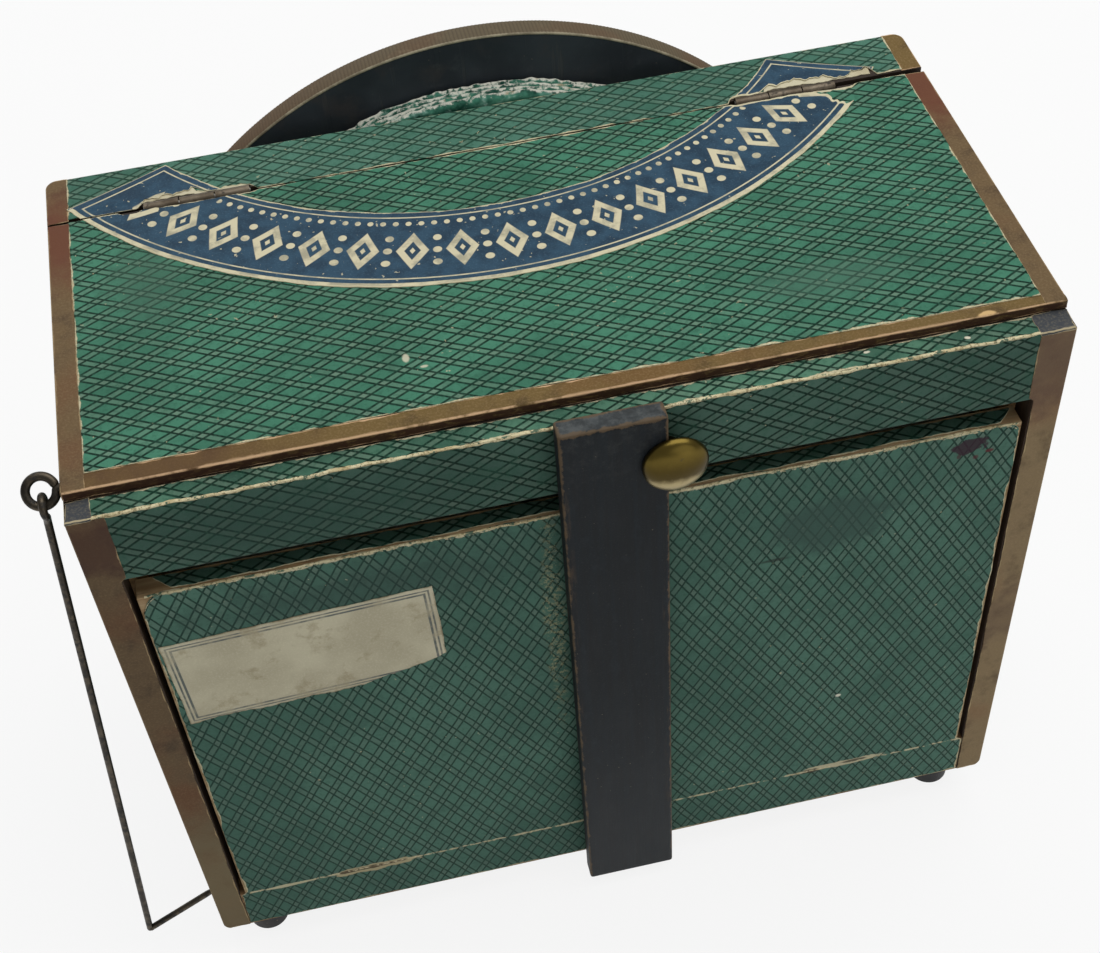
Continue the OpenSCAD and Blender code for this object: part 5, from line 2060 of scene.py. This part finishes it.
@dataclass
class Bellows(SubAssembly):
    """The pleated paper between the case and the lens board.

    Attributes:
        pleats: Number of folds.
        inner: Radius of the inner folds.
        outer: Radius of the outer folds.
        count: Points round the bellows.
        crumple: Drop of the outer folds: its even part, long waves and short waves.
        sway: Sway of the folds along the depth in long and in short waves.
        worn_from: Share of the way to an outer fold at which its wear starts.
        thick: Thickness of the paper.
    """

    pleats: int = 4
    inner: float = 68.4
    outer: float = 86.8
    count: int = 720
    crumple: Triple = (0.5, 0.3, 0.3)
    sway: Pair = (0.11, 0.02)
    worn_from: float = 0.86
    thick: float = 0.2

    def build(self) -> None:
        """Turn the pleats.

        The radius is a triangle wave along the depth, from the inner to the outer folds, lowered
        by seeded waves round the rim; the folds also sway a little along the depth.
        """
        low, high = span("bellows")
        ring_low, ring_high = span("bellows_rear_ring")
        centre = ((ring_low[0] + ring_high[0]) / 2, (ring_low[2] + ring_high[2]) / 2)
        share = np.linspace(0.0, 1.0, self.pleats * 12 + 1)[None]
        turn = around(self.count)
        beat = (share * self.pleats) % 1.0
        tip = unit((1.0 - np.abs(2.0 * beat - 1.0)) * 1.04)
        arc = turn * self.outer
        number = np.floor(np.clip(share * self.pleats, 0, self.pleats - 0.01))
        crease = bumps(arc + 0 * share, number * 61.0 + 0 * arc, 17.0, 5)
        fine = bumps(arc + 0 * share, tip * 14.0 + number * 37.0 + 0 * arc, 4.2, 9)
        drop, long_drop, short_drop = self.crumple
        dropped = tip * (drop + long_drop * crease + short_drop * fine)
        radii = self.inner + (self.outer - self.inner) * tip - dropped
        depth = high[1] - low[1]
        sway = (self.sway[0] * crease + self.sway[1] * fine) * tip * np.sin(np.pi * share)
        surface = turned(radii, low[1] + depth * share + sway, centre, self.count)
        surface.fields["bend"] = unit((tip - self.worn_from) / (1.0 - self.worn_from)) + 0 * arc
        surface.poles = False
        piece = self.lay("bellows_paper", surface, PleatPaper("pleated bellows paper"), "pleated_paper",
                         ("bellows",), self.thick, False)
        centre[0] * MM
        centre[1] * MM
        centre[0] * MM
        centre[1] * MM
        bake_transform(piece)


@dataclass
class Studio:
    """Floor, lights and the camera that matches the photograph.

    Attributes:
        eye: Place of the camera in millimetres.
        tilt: Turns of the camera about its own X, Y and Z, in radians.
        focal: Focal length in pixels of the photograph.
        principal: Pixel that the camera's axis meets.
        floor_half: Half width of the floor in millimetres.
        world: Strength of the even light from all round.
    """

    eye: Triple = (-49.1322, -317.97, 433.342)
    tilt: Triple = (0.8596, -0.1534, -0.0834)
    focal: float = 1763.68
    principal: Pair = (556.0, 560.0)
    floor_half: float = 3000.0
    world: float = 0.3

    def build(self) -> None:
        """Set the floor, the lights, the world and the camera."""
        self.floor()
        self.light("top_light", (350.0, 150.0, 1300.0), (0.0, 0.0, 120.0), 1.3, 12.0)
        self.light("rear_light", (600.0, -1150.0, 520.0), (0.0, 0.0, 90.0), 1.0, 2.2)
        self.light("front_light", (-500.0, 1300.0, 700.0), (0.0, 0.0, 90.0), 1.2, 5.0)
        self.sky()
        self.camera()

    def floor(self) -> None:
        """Lay the floor at the height of the feet."""
        half, level = self.floor_half, span("feet")[0][2]
        side = np.linspace(-half, half, 9)
        x, y = np.meshgrid(side, side, indexing="ij")
        piece = Surface(np.stack([x, y, np.full_like(x, level)], -1), inside=(0.0, 0.0, -500.0)).put("floor")
        piece.data.materials.append(StudioFloor("studio floor").material())

    def light(self, name: str, place: Triple, aim: Triple, size: float, power: float) -> None:
        """Hang a square soft light.

        Args:
            name: Name of the light.
            place: Its place in millimetres.
            aim: Point that it faces.
            size: Width in metres.
            power: Power in watts.
        """
        lamp = bpy.data.lights.new(name, "AREA")
        lamp.shape, lamp.size, lamp.energy = "SQUARE", size, power
        piece = bpy.data.objects.new(name, lamp)
        back = np.array(place) - np.array(aim)
        back = back / np.linalg.norm(back)
        right = np.cross([0.0, 1.0, 0.0], back)
        right = right / np.linalg.norm(right)
        turn = np.column_stack([right, np.cross(back, right), back])
        piece.matrix_world = self.pose(turn, np.array(place))
        bpy.context.scene.collection.objects.link(piece)

    def sky(self) -> None:
        """Light the scene evenly; the camera sees plain white."""
        world = bpy.data.worlds.new("studio")
        bpy.context.scene.world = world
        world.use_nodes = True
        tree = world.node_tree
        ground = tree.nodes["Background"]
        ground.inputs["Color"].default_value = (0.96, 0.98, 1.0, 1.0)
        ground.inputs["Strength"].default_value = self.world
        white = tree.nodes.new("ShaderNodeBackground")
        rays, both = tree.nodes.new("ShaderNodeLightPath"), tree.nodes.new("ShaderNodeMixShader")
        tree.links.new(rays.outputs["Is Camera Ray"], both.inputs[0])
        tree.links.new(ground.outputs[0], both.inputs[1])
        tree.links.new(white.outputs[0], both.inputs[2])
        white.inputs["Color"].default_value = (1.0, 1.0, 1.0, 1.0)
        tree.links.new(both.outputs[0], tree.nodes["World Output"].inputs[0])

    @staticmethod
    def pose(turn: Array, place: Array) -> Matrix:
        """Join a turn and a place into one matrix.

        Args:
            turn: The turn as a 3 by 3 array.
            place: The place in millimetres.

        Returns:
            The matrix in metres.
        """
        whole = np.eye(4)
        whole[:3, :3], whole[:3, 3] = turn, place * MM
        return Matrix(whole.tolist())

    def camera(self) -> None:
        """Place the camera: turns about Y, X and then Z, from looking along +Y with +Z up."""
        (cx, sx), (cy, sy), (cz, sz) = [(math.cos(t), math.sin(t)) for t in self.tilt]
        about_x = np.array([[1, 0, 0], [0, cx, -sx], [0, sx, cx]])
        about_y = np.array([[cy, 0, sy], [0, 1, 0], [-sy, 0, cy]])
        about_z = np.array([[cz, -sz, 0], [sz, cz, 0], [0, 0, 1]])
        level = np.array([[1, 0, 0], [0, 0, -1], [0, 1, 0]])
        view = about_z @ about_x @ about_y @ level
        lens = bpy.data.cameras.new("photo_camera")
        lens.sensor_width, lens.lens = 36.0, self.focal * 36.0 / PHOTO_W
        lens.shift_x = (PHOTO_W / 2 - self.principal[0]) / PHOTO_W
        lens.shift_y = (self.principal[1] - PHOTO_H / 2) / PHOTO_W
        lens.clip_start, lens.clip_end = 0.01, 50.0
        piece = bpy.data.objects.new("photo_camera", lens)
        piece.matrix_world = self.pose(view.T @ np.diag([1.0, -1.0, -1.0]), np.array(self.eye))
        bpy.context.scene.collection.objects.link(piece)
        bpy.context.scene.camera = piece


def main() -> None:
    """Build the studio and every sub-assembly."""
    logging.basicConfig(level=logging.INFO, format="%(name)s: %(message)s")
    bpy.context.scene.view_settings.view_transform = "Standard"
    Studio().build()
    for assembly in (PaperedCase(), Lid(), LinkRod(), RearFlap(), LockingBar(), LensFront(), Bellows()):
        assembly.build()
        LOG.info("%s done", type(assembly).__name__)


if __name__ == "__main__":
    main()
